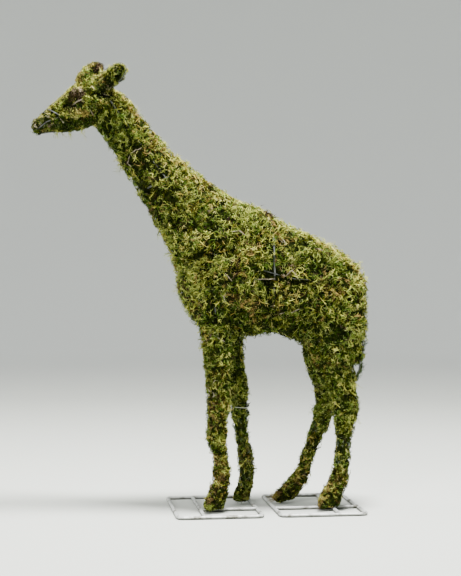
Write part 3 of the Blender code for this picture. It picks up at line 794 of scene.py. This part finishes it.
def unit_faces():
    """Faces, UV cells and owners (0 the stem, 1 up the shoots) of one strand."""
    faces, cells = [], []
    last = SEGMENTS - 1
    for i in range(last):
        for j in range(3):
            k = (j + 1) % 3
            faces.append((3 * i + j, 3 * i + 3 + j, 3 * i + 3 + k, 3 * i + k))
            cells.append(((j, i), (j, i + 1), (j + 1, i + 1), (j + 1, i)))
    for j in range(3):
        faces.append((3 * last + j, 3 * SEGMENTS, 3 * last + (j + 1) % 3))
        cells.append(((j, last), (j + 0.5, SEGMENTS), (j + 1, last)))
    faces.append((0, 1, 2))
    cells.append(((0, 0), (1, 0), (2, 0.3)))
    owners = [0] * len(faces)
    for shoot in range(SHOOTS):
        start = 3 * SEGMENTS + 1 + 4 * shoot
        low = 0.8 + shoot * 0.45
        for j in range(3):
            faces.append((start + j, start + 3, start + (j + 1) % 3))
            cells.append(((j, low), (j + 0.5, low + 1.2), (j + 1, low)))
        faces.append((start, start + 1, start + 2))
        cells.append(((0, low), (1, low), (2, low + 0.3)))
        owners += [shoot + 1] * 4
    return faces, cells, owners


def ring_points(middles, along, ups, radii, wide, thick):
    """Three points round each middle, square to along."""
    side = unit(np.cross(along, ups))
    top = np.cross(side, along)
    rings = []
    for degrees in (90, 210, 330):
        a = math.radians(degrees)
        offset = side * (wide * math.cos(a)) + top * (thick * math.sin(a))
        rings.append(middles + offset * radii[..., None])
    return np.stack(rings, -2)


def side_shoots(paths, ups, radii, lengths):
    """Short closed spikes that leave each strand to either side, like leaves."""
    count = len(paths)
    parts = []
    for shoot in range(SHOOTS):
        place = 0.5 + shoot * 0.55 + rng.uniform(0.0, 0.6, count)
        i = np.minimum(place.astype(int), SEGMENTS - 1)
        f = (place - i)[:, None]
        rows = np.arange(count)
        base = paths[rows, i] * (1 - f) + paths[rows, i + 1] * f
        forward = unit(paths[rows, i + 1] - paths[rows, i])
        side = unit(np.cross(forward, ups))
        hand = np.where((rows + shoot) % 2 == 0, 1.0, -1.0)[:, None]
        tilt = rng.normal(0.15, 0.45, (count, 1))
        aim = unit(forward * 0.75 + side * hand * rng.uniform(0.5, 1.1, (count, 1)) + ups * tilt)
        size = lengths * rng.uniform(0.20, 0.42, count)
        base = base + side * hand * rng.uniform(0.0, 0.0030, (count, 1))
        base -= ups * rng.uniform(0.0, 0.0014, (count, 1))
        ring = ring_points(base, aim, ups, radii.mean(1) * 0.85, 1.0, 1.0)
        tip = base + aim * size[:, None]
        parts.append(np.concatenate([ring, tip[:, None]], 1))
    return np.concatenate(parts, 1)


def strand_mesh(name, paths, ups, radii, lengths, hue, shade, material):
    """All the strands of one piece as one mesh of tapered three-sided tubes."""
    count = len(paths)
    along = unit(np.gradient(paths, axis=1))[:, :SEGMENTS]
    wide_ups = np.repeat(ups[:, None], SEGMENTS, 1)
    ring = ring_points(paths[:, :SEGMENTS], along, wide_ups, radii, 1.15, 0.85)
    ring = ring.reshape(count, SEGMENTS * 3, 3)
    shoots = side_shoots(paths, ups, radii, lengths)
    points = np.concatenate([ring, paths[:, SEGMENTS:], shoots], axis=1)
    points[..., 2] = np.maximum(points[..., 2], FLOOR_GAP)
    per = points.shape[1]
    faces, cells, owners = unit_faces()
    sizes = np.array([len(f) for f in faces])
    corners = np.concatenate([np.array(f) for f in faces])
    spots = np.concatenate([np.array(c, float) for c in cells])
    loops = (np.arange(count)[:, None] * per + corners).ravel()
    totals = np.tile(sizes, count)
    starts = np.concatenate([[0], np.cumsum(totals)[:-1]])
    mesh = bpy.data.meshes.new(name)
    mesh.vertices.add(count * per)
    mesh.vertices.foreach_set("co", points.ravel())
    mesh.loops.add(len(loops))
    mesh.loops.foreach_set("vertex_index", loops.astype(np.int32))
    mesh.polygons.add(len(totals))
    mesh.polygons.foreach_set("loop_start", starts.astype(np.int32))
    mesh.polygons.foreach_set("loop_total", totals.astype(np.int32))
    mesh.polygons.foreach_set("use_smooth", np.ones(len(totals), bool))
    mesh.update()
    width = 0.16 / len(HUES)
    own = np.repeat(owners, sizes)
    calm = np.where(hue > HUE["rust"] - 0.5, 0.3, 1.0)[:, None]
    drift = rng.normal(0.0, 0.45, (count, SHOOTS + 1)) * calm
    drift[:, 0] = 0.0
    glow = rng.normal(0.0, SHOOT_GLOW, (count, SHOOTS + 1))
    glow[:, 0] = 0.0
    hues = np.clip(hue[:, None] + drift[:, own], 0.0, len(HUES) - 1.0)
    u = (hues + 0.5) / len(HUES) + width * (spots[:, 0] / 3 - 0.5)
    low, high = shade[:, :1], shade[:, 1:]
    ceiling = np.where(hue < 0.5, 0.86, 0.99)
    ceiling[hue > HUE["gold"] + 0.5] = 0.82
    # V climbs each strand from its painted root shade to its tip; the ceiling keeps brown and black-green
    # hues almost free of the painted tip highlight.
    v = low + (high - low) * spots[:, 1] / SEGMENTS + glow[:, own]
    v = np.clip(v, 0.01, ceiling[:, None])
    layer = mesh.uv_layers.new(name="OFBake")
    layer.data.foreach_set("uv", np.stack([u, v], 2).ravel())
    mesh.materials.append(material)
    made = linked(name, mesh)
    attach(made, "root")
    return made


def spread_clumps(skin):
    """Clumps' middles and normals; strands' clumps, looseness, roots and headings."""
    kind = regions(skin.middles)
    clumps = int(STRANDS * (1 - LOOSE)) // CLUMP
    spots, normals = skin.scatter(clumps, DENSITY[kind])
    owner = np.repeat(np.arange(clumps), CLUMP)
    region = regions(spots)[owner]
    out = along_skin(rng.normal(0.0, 1.0, (len(owner), 3)), normals[owner])
    reach = CLUMP_SIZE[region] * np.sqrt(rng.random(len(owner))) * 0.75
    roots = spots[owner] + out * reach[:, None]
    heading = out * 0.8 + rng.normal(0.0, 0.45, (len(owner), 3))
    heading[:, 2] -= 0.22
    loose = STRANDS - len(owner)
    more, more_normals = skin.scatter(loose, DENSITY[kind])
    spots = np.concatenate([spots, more])
    normals = np.concatenate([normals, more_normals])
    owner = np.concatenate([owner, np.arange(clumps, clumps + loose)])
    roots = np.concatenate([roots, more])
    heading = np.concatenate([heading, rng.normal(0.0, 1.0, (loose, 3))])
    return spots, normals, owner, owner >= clumps, roots, heading


def crack_shade(points):
    """How strongly a crack or dark spot shades each point, from 0 to 1."""
    gloom = np.zeros(len(points))
    for line, width, _ in CRACKS:
        gloom = np.maximum(gloom, np.exp(-((side_distance(points, line) / width) ** 2)))
    return gloom


def in_hole(points, paths):
    """Whether each strand is rooted in a dark hole or crosses a deep crack."""
    inside = np.zeros(len(points), bool)
    halfway = (paths[:, 1:] + paths[:, :-1]) / 2
    steps = np.concatenate([paths, halfway], axis=1)
    for line, width, depth in CRACKS:
        if depth < OPEN_CRACK:
            continue
        for i in range(steps.shape[1]):
            inside |= side_distance(steps[:, i], line) < width * 0.8
    inside &= rng.random(len(points)) < 0.96
    for *middle, radius, height in DENTS:
        if height < OPEN_DENT:
            inside |= away(points, middle, radius) < 0.75
    return inside


def over_bare_wire(paths, bare):
    """Whether each strand lies on a stretch of wire that should stay bare."""
    over = np.zeros(len(paths), bool)
    find = bare.find_nearest
    for i, path in enumerate(paths.tolist()):
        for spot in path[1:]:
            hit = find(spot, BARE_REACH)
            if hit[3] is not None and shown_wire(hit[0]):
                over[i] = True
                break
    return over


def brightness(roots, ups, region, rise):
    """How light each strand is before the cracks shade it, mostly from 0 to 1."""
    scatter = rng.uniform(-1.0, 1.0, len(roots))
    # Height lightens high lumps and darkens low ones, as painted light and painted shade; the scatter is
    # the moss's own random tone.
    bright = 0.59 + GAIN[region] * (rise - 0.725) + CONTRAST[region] * scatter
    # Faces turned down are darkened as painted shade, and each region by its SHADED amount.
    bright -= 0.3 * part(-ups[:, 2] - 0.1) + SHADED[region]
    # A painted highlight along the ridges.
    bright += 0.13 * ridge_highlight(roots, ups)
    # A painted highlight on the upper breast and painted shade low on it.
    shaded_low_breast = part((0.445 - roots[:, 2]) / 0.035)
    bright += (0.34 - 0.46 * shaded_low_breast) * breast_highlight(roots, ups)
    # Painted light on the far foreleg, and painted shade low on the belly.
    bright += 0.12 * on_far_foreleg(roots, ups) - 0.25 * on_belly(roots, ups)
    # Painted shade on the back of the rump.
    bright -= 0.15 * part(ups[:, 0]) * (roots[:, 0] > THIGH_X)
    # The DIMMED places: painted shade and light, and some of the moss's own tone.
    for *middle, radius, amount in DIMMED:
        bright -= amount * np.exp(-away(roots, middle, radius) ** 2)
    return bright


def grow_moss(skin, bare, material):
    """Strands over the whole body, in one piece for each region."""
    spots, normals, owner, is_loose, roots, heading = spread_clumps(skin)
    region = regions(spots)[owner]
    weights = hue_weights(spots, normals)
    roots, ups = skin.nearest(roots)
    heading = along_skin(heading, ups)
    count = len(owner)
    lift = rng.random(len(spots))
    rise = np.clip(0.45 * lift + 0.50 + 0.9 * relief(spots), 0.0, 1.5)[owner]
    lengths = LENGTH[region] * rng.uniform(0.55, 1.45, count)
    lengths[is_loose] *= 1.25
    radii = RADIUS[region] * rng.uniform(0.75, 1.25, count)
    peak = HEIGHT[region] * (rise * rng.uniform(0.7, 1.15, count) + 0.1)
    heights = peak[:, None] * np.array([-0.2, 0.85, 1.0, 0.35])
    heights[:, 0] = -0.0024
    heights += rng.normal(0.0, 0.0009, heights.shape)
    fly = rng.random(count) < np.where(region > 3, 0.12, 0.10)
    heights[fly] += FLIGHT[region[fly]][:, None] * np.array([0, 0.3, 1.0, 1.8])
    low = np.clip((roots[:, 2] - 0.010) / 0.040, 0.25, 1.0)
    heights[:, 1:] *= low[:, None]
    heading[:, 2] -= 0.6 * (1.0 - low)
    root_gloom = crack_shade(roots)
    lengths *= (0.55 + 0.45 * low) * (1.0 - 0.4 * root_gloom)
    heights[:, 1:] *= 1.0 - 0.7 * root_gloom[:, None]
    curl = rng.normal(0.0, 2.0, count)
    paths = march(skin, roots, ups, heading, lengths, heights, curl)
    taper = np.array([0.75, 1.0, 0.80])
    widths = radii[:, None] * taper * rng.uniform(0.7, 1.25, (count, SEGMENTS))
    clump_hue = choose(weights)
    own_hue = choose(weights[owner])
    hue = np.where(rng.random(count) < FELLOWS[region], clump_hue[owner], own_hue)
    # Stray strands are kept to lighter greens and lifted below: a painted highlight on the fringe.
    stray = fly & (region > 0)
    hue[stray] = np.clip(hue[stray], HUE["olive"], HUE["lime_straw"])
    hue = np.clip(hue + rng.uniform(-0.30, 0.30, count), 0.0, len(HUES) - 1.0)
    bright = brightness(roots, ups, region, rise)
    bright[stray] = 0.45 + 0.5 * bright[stray]
    # Strands in or over a crack are darkened: painted shade.
    gloom = np.maximum(root_gloom, crack_shade((paths[:, 1] + paths[:, 2]) / 2))
    bright = part(bright) * (1.0 - gloom)
    dark = DARKEST[region]
    tip_shade = dark + (0.99 - dark) * bright - 0.5 * dark * gloom
    shade = np.stack([0.02 + 0.33 * bright, tip_shade], 1)
    outer = roots + ups * inset(roots, ups)[:, None]
    keep = ~(in_hole(outer, paths) | over_bare_wire(paths, bare))
    for number, name in enumerate(REGION_NAMES):
        own = keep & (region == number)
        piece = strand_mesh(
            "moss_on_" + name, paths[own], ups[own], widths[own], lengths[own],
            hue[own], shade[own], material,
        )
        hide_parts("moss_body")


# Dry stems: points on the body, thickness and how far off the moss they lie.
TWIGS = [
    ([(-257, -34, 802), (-248, -34, 810), (-238, -34, 813.5)], 1.2, 3),
    ([(-281, -24, 777), (-273, -22, 768)], 0.9, 2.8), ([(-220, -31, 842), (-213, -34, 832)], 0.7, 3),
    ([(-181, -41, 838), (-184, -36, 831)], 0.4, 2), ([(-199, -34, 825), (-186, -31, 822)], 0.4, 2.2),
    ([(-224, -32, 795), (-217, -27, 785)], 0.8, 3),
    ([(158, -78, 468), (170, -78, 480), (183, -77, 462)], 1, 6),
    ([(38, -74, 474), (52, -75, 458)], 1.2, 6),
    ([(52, -69, 555), (68, -70, 557), (80, -72, 547)], 0.9, 6),
    ([(-145, -33, 708), (-134, -37, 716), (-122, -36, 720)], 0.8, 6.5),
    ([(-145, -32, 706), (-149, -25, 691), (-141, -28, 683)], 0.8, 6.5),
    ([(128, -70, 409), (140, -71, 409)], 0.8, 5.5), ([(145, -63, 391), (158, -67, 397)], 0.8, 5.5),
    ([(168, -68, 395), (187, -73, 403)], 0.9, 5.5),
    ([(15, -70, 353), (27, -70, 346), (39, -69, 339)], 0.9, 5.5),
    ([(101, -77, 462), (118, -78, 462), (137, -78, 462)], 0.7, 5.5),
    ([(-107, -41, 712), (-98, -41, 706)], 0.9, 4.5),
]


def build_twigs(skin):
    """Dry stems caught in the moss."""
    sockets = {"Roughness": 0.8, "Specular IOR Level": 0.2}
    stops = [(0.35, (0.10, 0.08, 0.05)), (0.55, (0.24, 0.20, 0.14)), (0.75, (0.36, 0.32, 0.23))]
    material = mottled("dry_stem", sockets, 220.0, 2.0, stops)[0]
    sides = 6
    points, faces = [], []
    for rows, thickness, height in TWIGS:
        on, up = skin.nearest(np.array(rows) / 1000)
        path = on + up * (height / 1000 - inset(on, up)[:, None])
        fine = [path[0]]
        for a, b in zip(path[:-1], path[1:]):
            fine += [a + (b - a) * t + rng.normal(0, 0.0003, 3) for t in (0.33, 0.66, 1.0)]
        path = np.array(fine)
        along = unit(np.gradient(path, axis=0))
        start = len(points)
        last = len(path) - 1
        for i, (spot, way) in enumerate(zip(path, along)):
            side = unit(np.cross(way, up[0]))
            top = np.cross(side, way)
            size = thickness / 1000 * (0.35 if i in (0, last) else rng.uniform(0.85, 1.15))
            for j in range(sides):
                a = math.tau * j / sides
                points.append(spot + (side * math.cos(a) + top * math.sin(a)) * size)
        faces += ring_faces(start, len(path), sides)
        faces.append(tuple(range(start, start + sides)))
        faces.append(tuple(reversed(range(len(points) - sides, len(points)))))
    twigs = mesh_piece("dry_stems", [tuple(p) for p in points], faces, material)
    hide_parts("moss_body")


THREAD_MIDDLE = (0.0860, 0.0350, 0.2004)
THREAD_REACH = (0.0152, 0.0165, 0.0)
THREAD_RADIUS = 0.00055


def build_thread():
    """A pale thread tied round the far foreleg."""
    colour = (0.55, 0.56, 0.44, 1.0)
    sockets = {"Base Color": colour, "Roughness": 0.7, "Specular IOR Level": 0.2}
    material, _, _ = principled("pale_thread", sockets)
    around, sides = 40, 5
    up = np.array([0, 0, 1])
    points = []
    for i in range(around):
        a = math.tau * i / around
        out = np.array([math.cos(a), math.sin(a), 0.0])
        middle = np.array(THREAD_MIDDLE) + out * THREAD_REACH
        middle[2] += 0.0006 * math.sin(2.0 * a)
        for j in range(sides):
            b = math.tau * j / sides
            points.append(tuple(middle + THREAD_RADIUS * (out * math.cos(b) + up * math.sin(b))))
    faces = ring_faces(0, around, sides, loop=True)
    thread = mesh_piece("binding_thread", points, faces, material)
    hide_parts("moss_body")


# Tufts that stand out: root, the way they point, length, number of strands and hue.
# The straw and lime tufts along the back are partly a painted highlight on that edge, and the pink one on
# the eye a painted highlight.
TUFTS = [
    ((-287, -6, 756), (-2, -2, -10), 19, 6, "yellow_green"),
    ((-261, -8, 757), (2, -3, -10), 14, 5, "yellow_green"),
    ((-236, -8, 763), (1, -2, -10), 17, 5, "lime_straw"),
    ((-209, -4, 774), (-7, 0, -7), 9, 5, "lime_straw"),
    ((-163, -4, 697), (-10, -1, -1), 13, 8, "lime_straw"),
    ((-159, -4, 683), (-10, -1, -3), 14, 8, "yellow_green"),
    ((-129, -4, 632), (-10, 0, -4), 10, 6, "yellow_green"), ((-125, 0, 797), (7, -1, 8), 10, 8, "straw"),
    ((-73, 0, 734), (6, -1, 9), 11, 8, "lime_straw"), ((-46, 4, 704), (6, 2, 9), 10, 6, "straw"),
    ((-63, -2, 512), (-10, 0, 1), 12, 8, "yellow_green"),
    ((-53, -4, 440), (-10, -1, 0), 14, 8, "lime_straw"), ((-30, -4, 382), (-9, 0, -6), 12, 6, "olive"),
    ((48, -50, 215), (10, 4, 0), 10, 5, "olive"), ((46, -50, 203), (10, 4, -3), 9, 5, "gold"),
    ((64, 20, 210), (-10, -4, 0), 8, 4, "olive"), ((166, -4, 573), (4, -1, 10), 5, 5, "straw"),
    ((128, -24, 590), (-4, -5, 10), 8, 36, "dark_brown"),
    ((134, -30, 587), (5, -6, 8), 7, 26, "dark_brown"), ((199, 0, 563), (5, 0, 10), 12, 8, "straw"),
    ((234, 4, 541), (6, 1, 10), 11, 8, "lime_straw"), ((263, -4, 531), (6, -1, 10), 12, 10, "straw"),
    ((294, 4, 514), (6, 1, 10), 10, 7, "lime_straw"), ((331, 0, 494), (9, 0, 6), 12, 9, "straw"),
    ((336, -4, 471), (10, 0, 1), 12, 8, "lime_straw"), ((337, 0, 419), (10, 0, -2), 9, 6, "gold"),
    ((103, -10, 359), (-2, -1, -10), 11, 6, "deep_green"),
    ((131, -6, 357), (3, -1, -10), 9, 5, "deep_green"), ((86, 10, 343), (5, 0, -9), 12, 6, "deep_green"),
    ((234, 30, 200), (-10, 0, 2), 13, 12, "mid_green"), ((236, 32, 190), (-10, 0, -2), 11, 8, "olive"),
    ((238, 30, 230), (-10, -1, 1.5), 22, 2, "rust"), ((226, 22, 262), (-10, 0, 1), 12, 4, "olive"),
    ((298, -60, 249), (10, -2, 3), 14, 10, "lime_straw"),
    ((303, -60, 181), (9, -1, -5), 12, 6, "yellow_green"), ((160, 29, 20), (-10, -1, -1.5), 13, 26, "gold"),
    ((156, 31, 12), (-10, -1, 0.5), 12, 18, "orange_tan"), ((166, 26, 28), (-10, -2, 1.5), 12, 10, "rust"),
    ((180, 24, 40), (-8, -3, 6), 10, 8, "orange_tan"), ((233, -64, 18), (-10, -2, -3), 11, 10, "rust"),
    ((236, -68, 30), (-10, -2, 2), 12, 10, "gold"), ((243, -70, 44), (-8, -3, 6), 11, 8, "orange_tan"),
    ((10, -66, 18), (-10, -2, -4), 13, 12, "olive"), ((14, -66, 30), (-9, -2, 1), 10, 8, "rust"),
    ((82, 26, 18), (-10, -2, -3), 12, 10, "mid_green"), ((24, -72, 70), (-3, -8, 5), 9, 6, "orange_tan"),
    ((-243, -34, 833), (1, -10, 3), 5, 8, "pink_tan"), ((96, 22, 267), (10, 0, 4), 12, 5, "olive"),
    ((95, 30, 231), (10, 0, -3), 10, 4, "olive"), ((-2, -66, 280), (-10, -1, 2), 10, 5, "olive"),
    ((5, -66, 152), (-10, -1, -3), 12, 6, "gold"), ((-62, -12, 492), (-10, -2, 0), 12, 10, "lime_straw"),
    ((-66, -8, 470), (-10, -1, -2), 12, 10, "yellow_green"),
    ((-45, -12, 410), (-10, -1, -5), 14, 8, "olive"), ((331, -10, 486), (10, -2, 4), 12, 12, "straw"),
    ((324, -16, 496), (9, -2, 7), 12, 10, "lime_straw"),
    ((-205, -34, 870), (-2, -1, 10), 8, 6, "lime_straw"),
    ((-186, -44, 880), (0, -1, 10), 7, 6, "lime_straw"),
]

# Strands laid end to end: the points they follow, their length, their number,
# how far they stray, and their hue.
TRAILS = [
    ([(14, -54, 620), (16, -60, 592)], 7, 10, 0.6, "orange_tan"),
    # The straw and lime trails along the top of the muzzle are a painted highlight on that ridge; the
    # black-green one under them is painted shade.
    ([(-330, -4, 770), (-305, -5, 798), (-280, -6, 823), (-258, -8, 842)], 7, 60, 0.9, "straw"),
    ([(-328, -7, 768), (-305, -8, 796), (-280, -9, 821), (-260, -10, 840)], 6, 34, 0.9, "lime_straw"),
    ([(-326, -10, 769), (-303, -12, 796), (-279, -13, 821), (-259, -14, 840)], 7, 50, 0.9, "straw"),
    ([(-318, -15, 773), (-290, -18, 800), (-266, -20, 824)], 8, 24, 0.8, "black_green"),
    ([(-208, -34, 862), (-190, -42, 875), (-162, -50, 888), (-149, -50, 884)], 7, 50, 0.9, "lime_straw"),
    ([(-149, -50, 884), (-156, -50, 868), (-166, -46, 848)], 6, 14, 0.8, "olive"),
    ([(-252, -10, 846), (-240, -4, 866), (-226, 14, 884), (-214, 28, 894)], 7, 60, 1.6, "gold"),
    ([(-246, -14, 852), (-236, -6, 868)], 6, 20, 1.2, "orange_tan"),
    ([(-212, 30, 897), (-200, 34, 895), (-194, 34, 884), (-199, 32, 874)], 6, 40, 1.6, "dark_brown"),
    ([(-281, -26, 786), (-262, -30, 786), (-240, -31, 786)], 7, 44, 1.2, "lime_straw"),
    ([(-262, -30, 787), (-244, -32, 788), (-224, -30, 787)], 7, 34, 1.2, "gold"),
    ([(-250, -31, 791), (-240, -32, 791), (-228, -31, 790)], 6, 22, 1.2, "orange_tan"),
]


def thigh_trail(inwards, y):
    """A trail down the wire behind a thigh, which lies a little inwards."""
    points = [(325 - inwards, y, 348), (318.5 - inwards, y, 302)]
    points += [(316 - inwards, y, 280), (305 - inwards, y, 256)]
    return points, 10, 90, 1.4, "deep_green"


def trail_rows(skin):
    """Each trail as single strands: root, way, length, spread and hue."""
    rows = []
    free = [thigh_trail(0, -45), thigh_trail(12, 45)]
    for number, (points, length, count, stray, hue) in enumerate(TRAILS + free):
        points = np.array(points) / 1000
        for place in rng.uniform(0.0, len(points) - 1.001, count):
            i = int(place)
            spot = points[i] + (points[i + 1] - points[i]) * (place - i)
            if number < len(TRAILS):
                spot = skin.nearest(spot[None])[0][0]
            way = unit(points[i + 1] - points[i]) * rng.choice([-1.0, 1.0])
            rows.append((spot, way, length / 1000, stray / 1000, hue))
    return rows


def tuft_rows(skin):
    """Each tuft as single strands: root, way, length, spread and hue."""
    roots, _ = skin.nearest(np.array([row[0] for row in TUFTS]) / 1000)
    rows = []
    for root, (_, way, length, count, hue) in zip(roots, TUFTS):
        rows += [(root, unit(np.array(way) / 10), length / 1000, 0.0022, hue)] * count
    return rows


def build_tufts(skin, material):
    """Little sprays and trails of longer strands that break the outline."""
    paths, hues = [], []
    for root, way, length, stray, hue in tuft_rows(skin) + trail_rows(skin):
        start = root + rng.normal(0.0, stray, 3)
        aim = unit(way + rng.normal(0.0, 0.33, 3))
        reach = length * rng.uniform(0.6, 1.2)
        bend = rng.normal(0.0, 0.30, 3) - (0.0, 0.0, 0.15)
        t = np.linspace(-0.25, 1.0, SEGMENTS + 1)[:, None]
        paths.append(start + aim * reach * t + bend * reach * np.abs(t) ** 2)
        hues.append(HUE[hue])
    paths = np.array(paths)
    count = len(paths)
    span = paths[:, -1] - paths[:, 0]
    ups = unit(np.cross(span, rng.normal(0, 1, (count, 3))))
    lengths = np.linalg.norm(span, axis=1)
    widths = 0.00062 * rng.uniform(0.7, 1.2, (count, SEGMENTS)) * np.linspace(1, 0.7, SEGMENTS)
    hue = np.clip(np.array(hues) + rng.uniform(-0.6, 0.6, count), 0, len(HUES) - 1)
    bright = rng.uniform(0.3, 1.0, count)
    shade = np.stack([0.2 + 0.3 * bright, 0.5 + 0.49 * bright], 1)
    piece = strand_mesh("moss_tufts", paths, ups, widths, lengths, hue, shade, material)
    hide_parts("moss_body")


def build_bed(mesh, skin, normals):
    """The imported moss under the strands: shrunk, lumpy and dark."""
    p = skin.points
    drop = SHRINK[regions(p)] * (1.0 + 0.35 * field(p, 170.0, 7))
    mesh.vertices.foreach_set("co", (p - normals * drop[:, None]).ravel())
    mesh.update()
    mesh.materials.clear()
    mesh.materials.append(bed_material())
    dense = linked("dense_bed", mesh)
    dense.modifiers.new("fewer", "DECIMATE").ratio = BED_TRIANGLES / len(skin.triangles)
    thin = applied(dense)
    thin.shade_smooth()
    bed = linked("moss_bed", thin)
    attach(bed, "root")
    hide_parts("moss_body")


# ---------------------------------------------------------------- steel

# How much each wire's radius shrinks, and how far it sinks (below zero: stands out)
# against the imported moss. With 0 it stays where the CAD has it.
WIRES = [
    ("head_wires", 0.0006, 0.0),
    ("near_ear_rim", 0.0011, 0.0),
    ("far_ear_rim", 0.0010, 0.0),
    ("neck_wires", 0.0007, -0.0024),
    ("trunk_wires", 0.0013, -0.0016),
    ("near_fore_wire", 0.0005, -0.0010),
    ("far_fore_wire", 0.0005, -0.0010),
    ("near_thigh_wire", 0.0002, 0.0),
    ("far_thigh_wire", 0.0002, 0.0),
]


def finish_steel(skin):
    """Weathered zinc on the CAD's wires and rods, and a lookup tree of the wires."""
    wire = steel_material("weathered_wire", (0.100, 0.104, 0.100), (0.026, 0.025, 0.023), 90.0)
    pale = steel_material("bleached_wire", (0.078, 0.080, 0.070), (0.024, 0.020, 0.016), 130.0)
    clean = steel_material("worn_wire", (0.15, 0.16, 0.15), (0.04, 0.04, 0.036), 130.0)
    # How high the rods' darker bottom reaches: dirt and painted shade.
    dirt_and_shade = (0.0012, 0.0052)
    rod = steel_material("weathered_rod", (0.56, 0.57, 0.54), (0.15, 0.145, 0.12), 60.0, dirt_and_shade)
    for name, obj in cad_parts.items():
        if name.endswith("base_frame"):
            obj.data.materials.clear()
            obj.data.materials.append(rod)
    points, faces = [], []
    for name, thin, sink in WIRES:
        finish = {"head_wires": pale, "trunk_wires": clean}.get(name, wire)
        more, their_faces = fine_wire(skin, name, thin, sink, finish)
        faces += [[len(points) + i for i in face] for face in their_faces]
        points += more
    return BVHTree.FromPolygons(points, faces)


def fine_wire(skin, name, thin, sink, finish):
    """A smooth, slightly thinner and deeper CAD wire; returns its points and faces."""
    mesh = applied(welded(name))
    points = np.array([v.co for v in mesh.vertices])
    normals = np.array([v.normal for v in mesh.vertices])
    spots, facing = skin.nearest(points)
    if name == "head_wires":
        sink = np.array([0.0038 * buried(x, z) for x, _, z in points.tolist()])
    elif sink:
        hidden = [not shown_wire(Vector(spot)) for spot in points.tolist()]
        sink = sink + inset(spots, facing) + 0.0070 * np.array(hidden)
    points = points - normals * thin - facing * np.broadcast_to(sink, len(points))[:, None]
    mesh.vertices.foreach_set("co", points.ravel())
    mesh.materials.clear()
    mesh.materials.append(finish)
    mesh.shade_smooth()
    piece = linked(name + "_steel", mesh)
    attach(piece, "root")
    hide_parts(name)
    return [tuple(p) for p in points], [tuple(f.vertices) for f in mesh.polygons]


# ---------------------------------------------------------------- stage

FLOOR_SIDES = 64
FLOOR_RADIUS = 4.5
FLOOR_CURVE = 3.0
FOCAL_LENGTH = 85.0
CAMERA_PLACE = (-0.3034, -2.7141, 0.4703)
CAMERA_TURN = 7.6
CAMERA_PITCH = 0.55


def build_floor():
    """A pale round studio floor that curves up far away."""
    profile = [(1.5, 0.0), (3.0, 0.0), (FLOOR_RADIUS, 0.0)]
    for i in range(1, 9):
        a = math.radians(i * 10.0)
        rise = FLOOR_CURVE - FLOOR_CURVE * math.cos(a)
        profile.append((FLOOR_RADIUS + FLOOR_CURVE * math.sin(a), rise))
    profile += [(7.5, 3.4), (7.5, 4.6), (7.5, 6.0)]
    points = [(0.0, 0.0, 0.0)]
    for r, z in profile:
        for j in range(FLOOR_SIDES):
            a = math.tau * j / FLOOR_SIDES
            points.append((r * math.cos(a), r * math.sin(a), z))
    faces = [(0, 1 + j, 1 + (j + 1) % FLOOR_SIDES) for j in range(FLOOR_SIDES)]
    faces += ring_faces(1, len(profile), FLOOR_SIDES)
    mesh = bpy.data.meshes.new("studio_floor")
    mesh.from_pydata(points, [], faces)
    material, tree, shader = principled("studio_floor", {"Roughness": 0.9})
    place = node(tree, "ShaderNodeTexCoord")
    reach = node(tree, "ShaderNodeVectorMath", operation="LENGTH")
    tones = ramp(tree, [(0.25, (0.62, 0.64, 0.58)), (0.50, (0.80, 0.82, 0.79))])
    span = node(tree, "ShaderNodeMath", {1: 10.0}, operation="DIVIDE")
    link = tree.links.new
    link(place.outputs["Object"], reach.inputs[0])
    link(reach.outputs["Value"], span.inputs[0])
    link(span.outputs[0], tones.inputs[0])
    link(tones.outputs[0], shader.inputs["Base Color"])
    mesh.materials.append(material)
    mesh.shade_smooth()
    floor = linked("studio_floor", mesh)


def build_lights():
    """A soft bright room and three soft lamps."""
    world = bpy.data.worlds.new("studio")
    bpy.context.scene.world = world
    world.use_nodes = True
    background = world.node_tree.nodes["Background"]
    background.inputs[0].default_value = (0.92, 0.95, 0.96, 1)
    background.inputs[1].default_value = 0.55
    add_light("top", (0.35, -0.30, 2.7), (0.0, 0.0, 0.5), 0.6, 290.0)
    add_light("front", (-1.3, -2.6, 2.3), (0.0, 0.0, 0.45), 0.9, 82.0)
    add_light("left", (-2.6, 1.1, 1.4), (0.0, 0.0, 0.50), 1.2, 55.0)


def add_light(name, place, aim, size, power):
    """A soft square lamp that points at aim."""
    data = bpy.data.lights.new(name, "AREA")
    data.size = size
    data.energy = power
    lamp = linked(name, data)
    lamp.location = place
    lamp.rotation_euler = (Vector(aim) - Vector(place)).to_track_quat("-Z", "Y").to_euler()


def build_camera():
    """Eye height of a person crouching, side on to the giraffe."""
    data = bpy.data.cameras.new("camera")
    data.sensor_fit = "VERTICAL"
    data.sensor_height = 36.0
    data.lens = FOCAL_LENGTH
    camera = linked("camera", data)
    camera.location = CAMERA_PLACE
    turn, pitch = math.radians(CAMERA_TURN), math.radians(CAMERA_PITCH)
    camera.rotation_euler = (math.radians(90) - pitch, 0.0, -turn)
    bpy.context.scene.camera = camera


build_floor()
build_lights()
build_camera()
bed_mesh, even_skin, bed_normals = moss_surface()
wires = node_tree(*(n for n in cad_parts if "wire" in n or "rim" in n))
skin = shaped(even_skin, bed_normals, wires)
build_bed(bed_mesh, skin, bed_normals)
strands = strand_material()
steel = finish_steel(even_skin)
grow_moss(skin, steel, strands)
build_tufts(skin, strands)
build_twigs(even_skin)
build_thread()
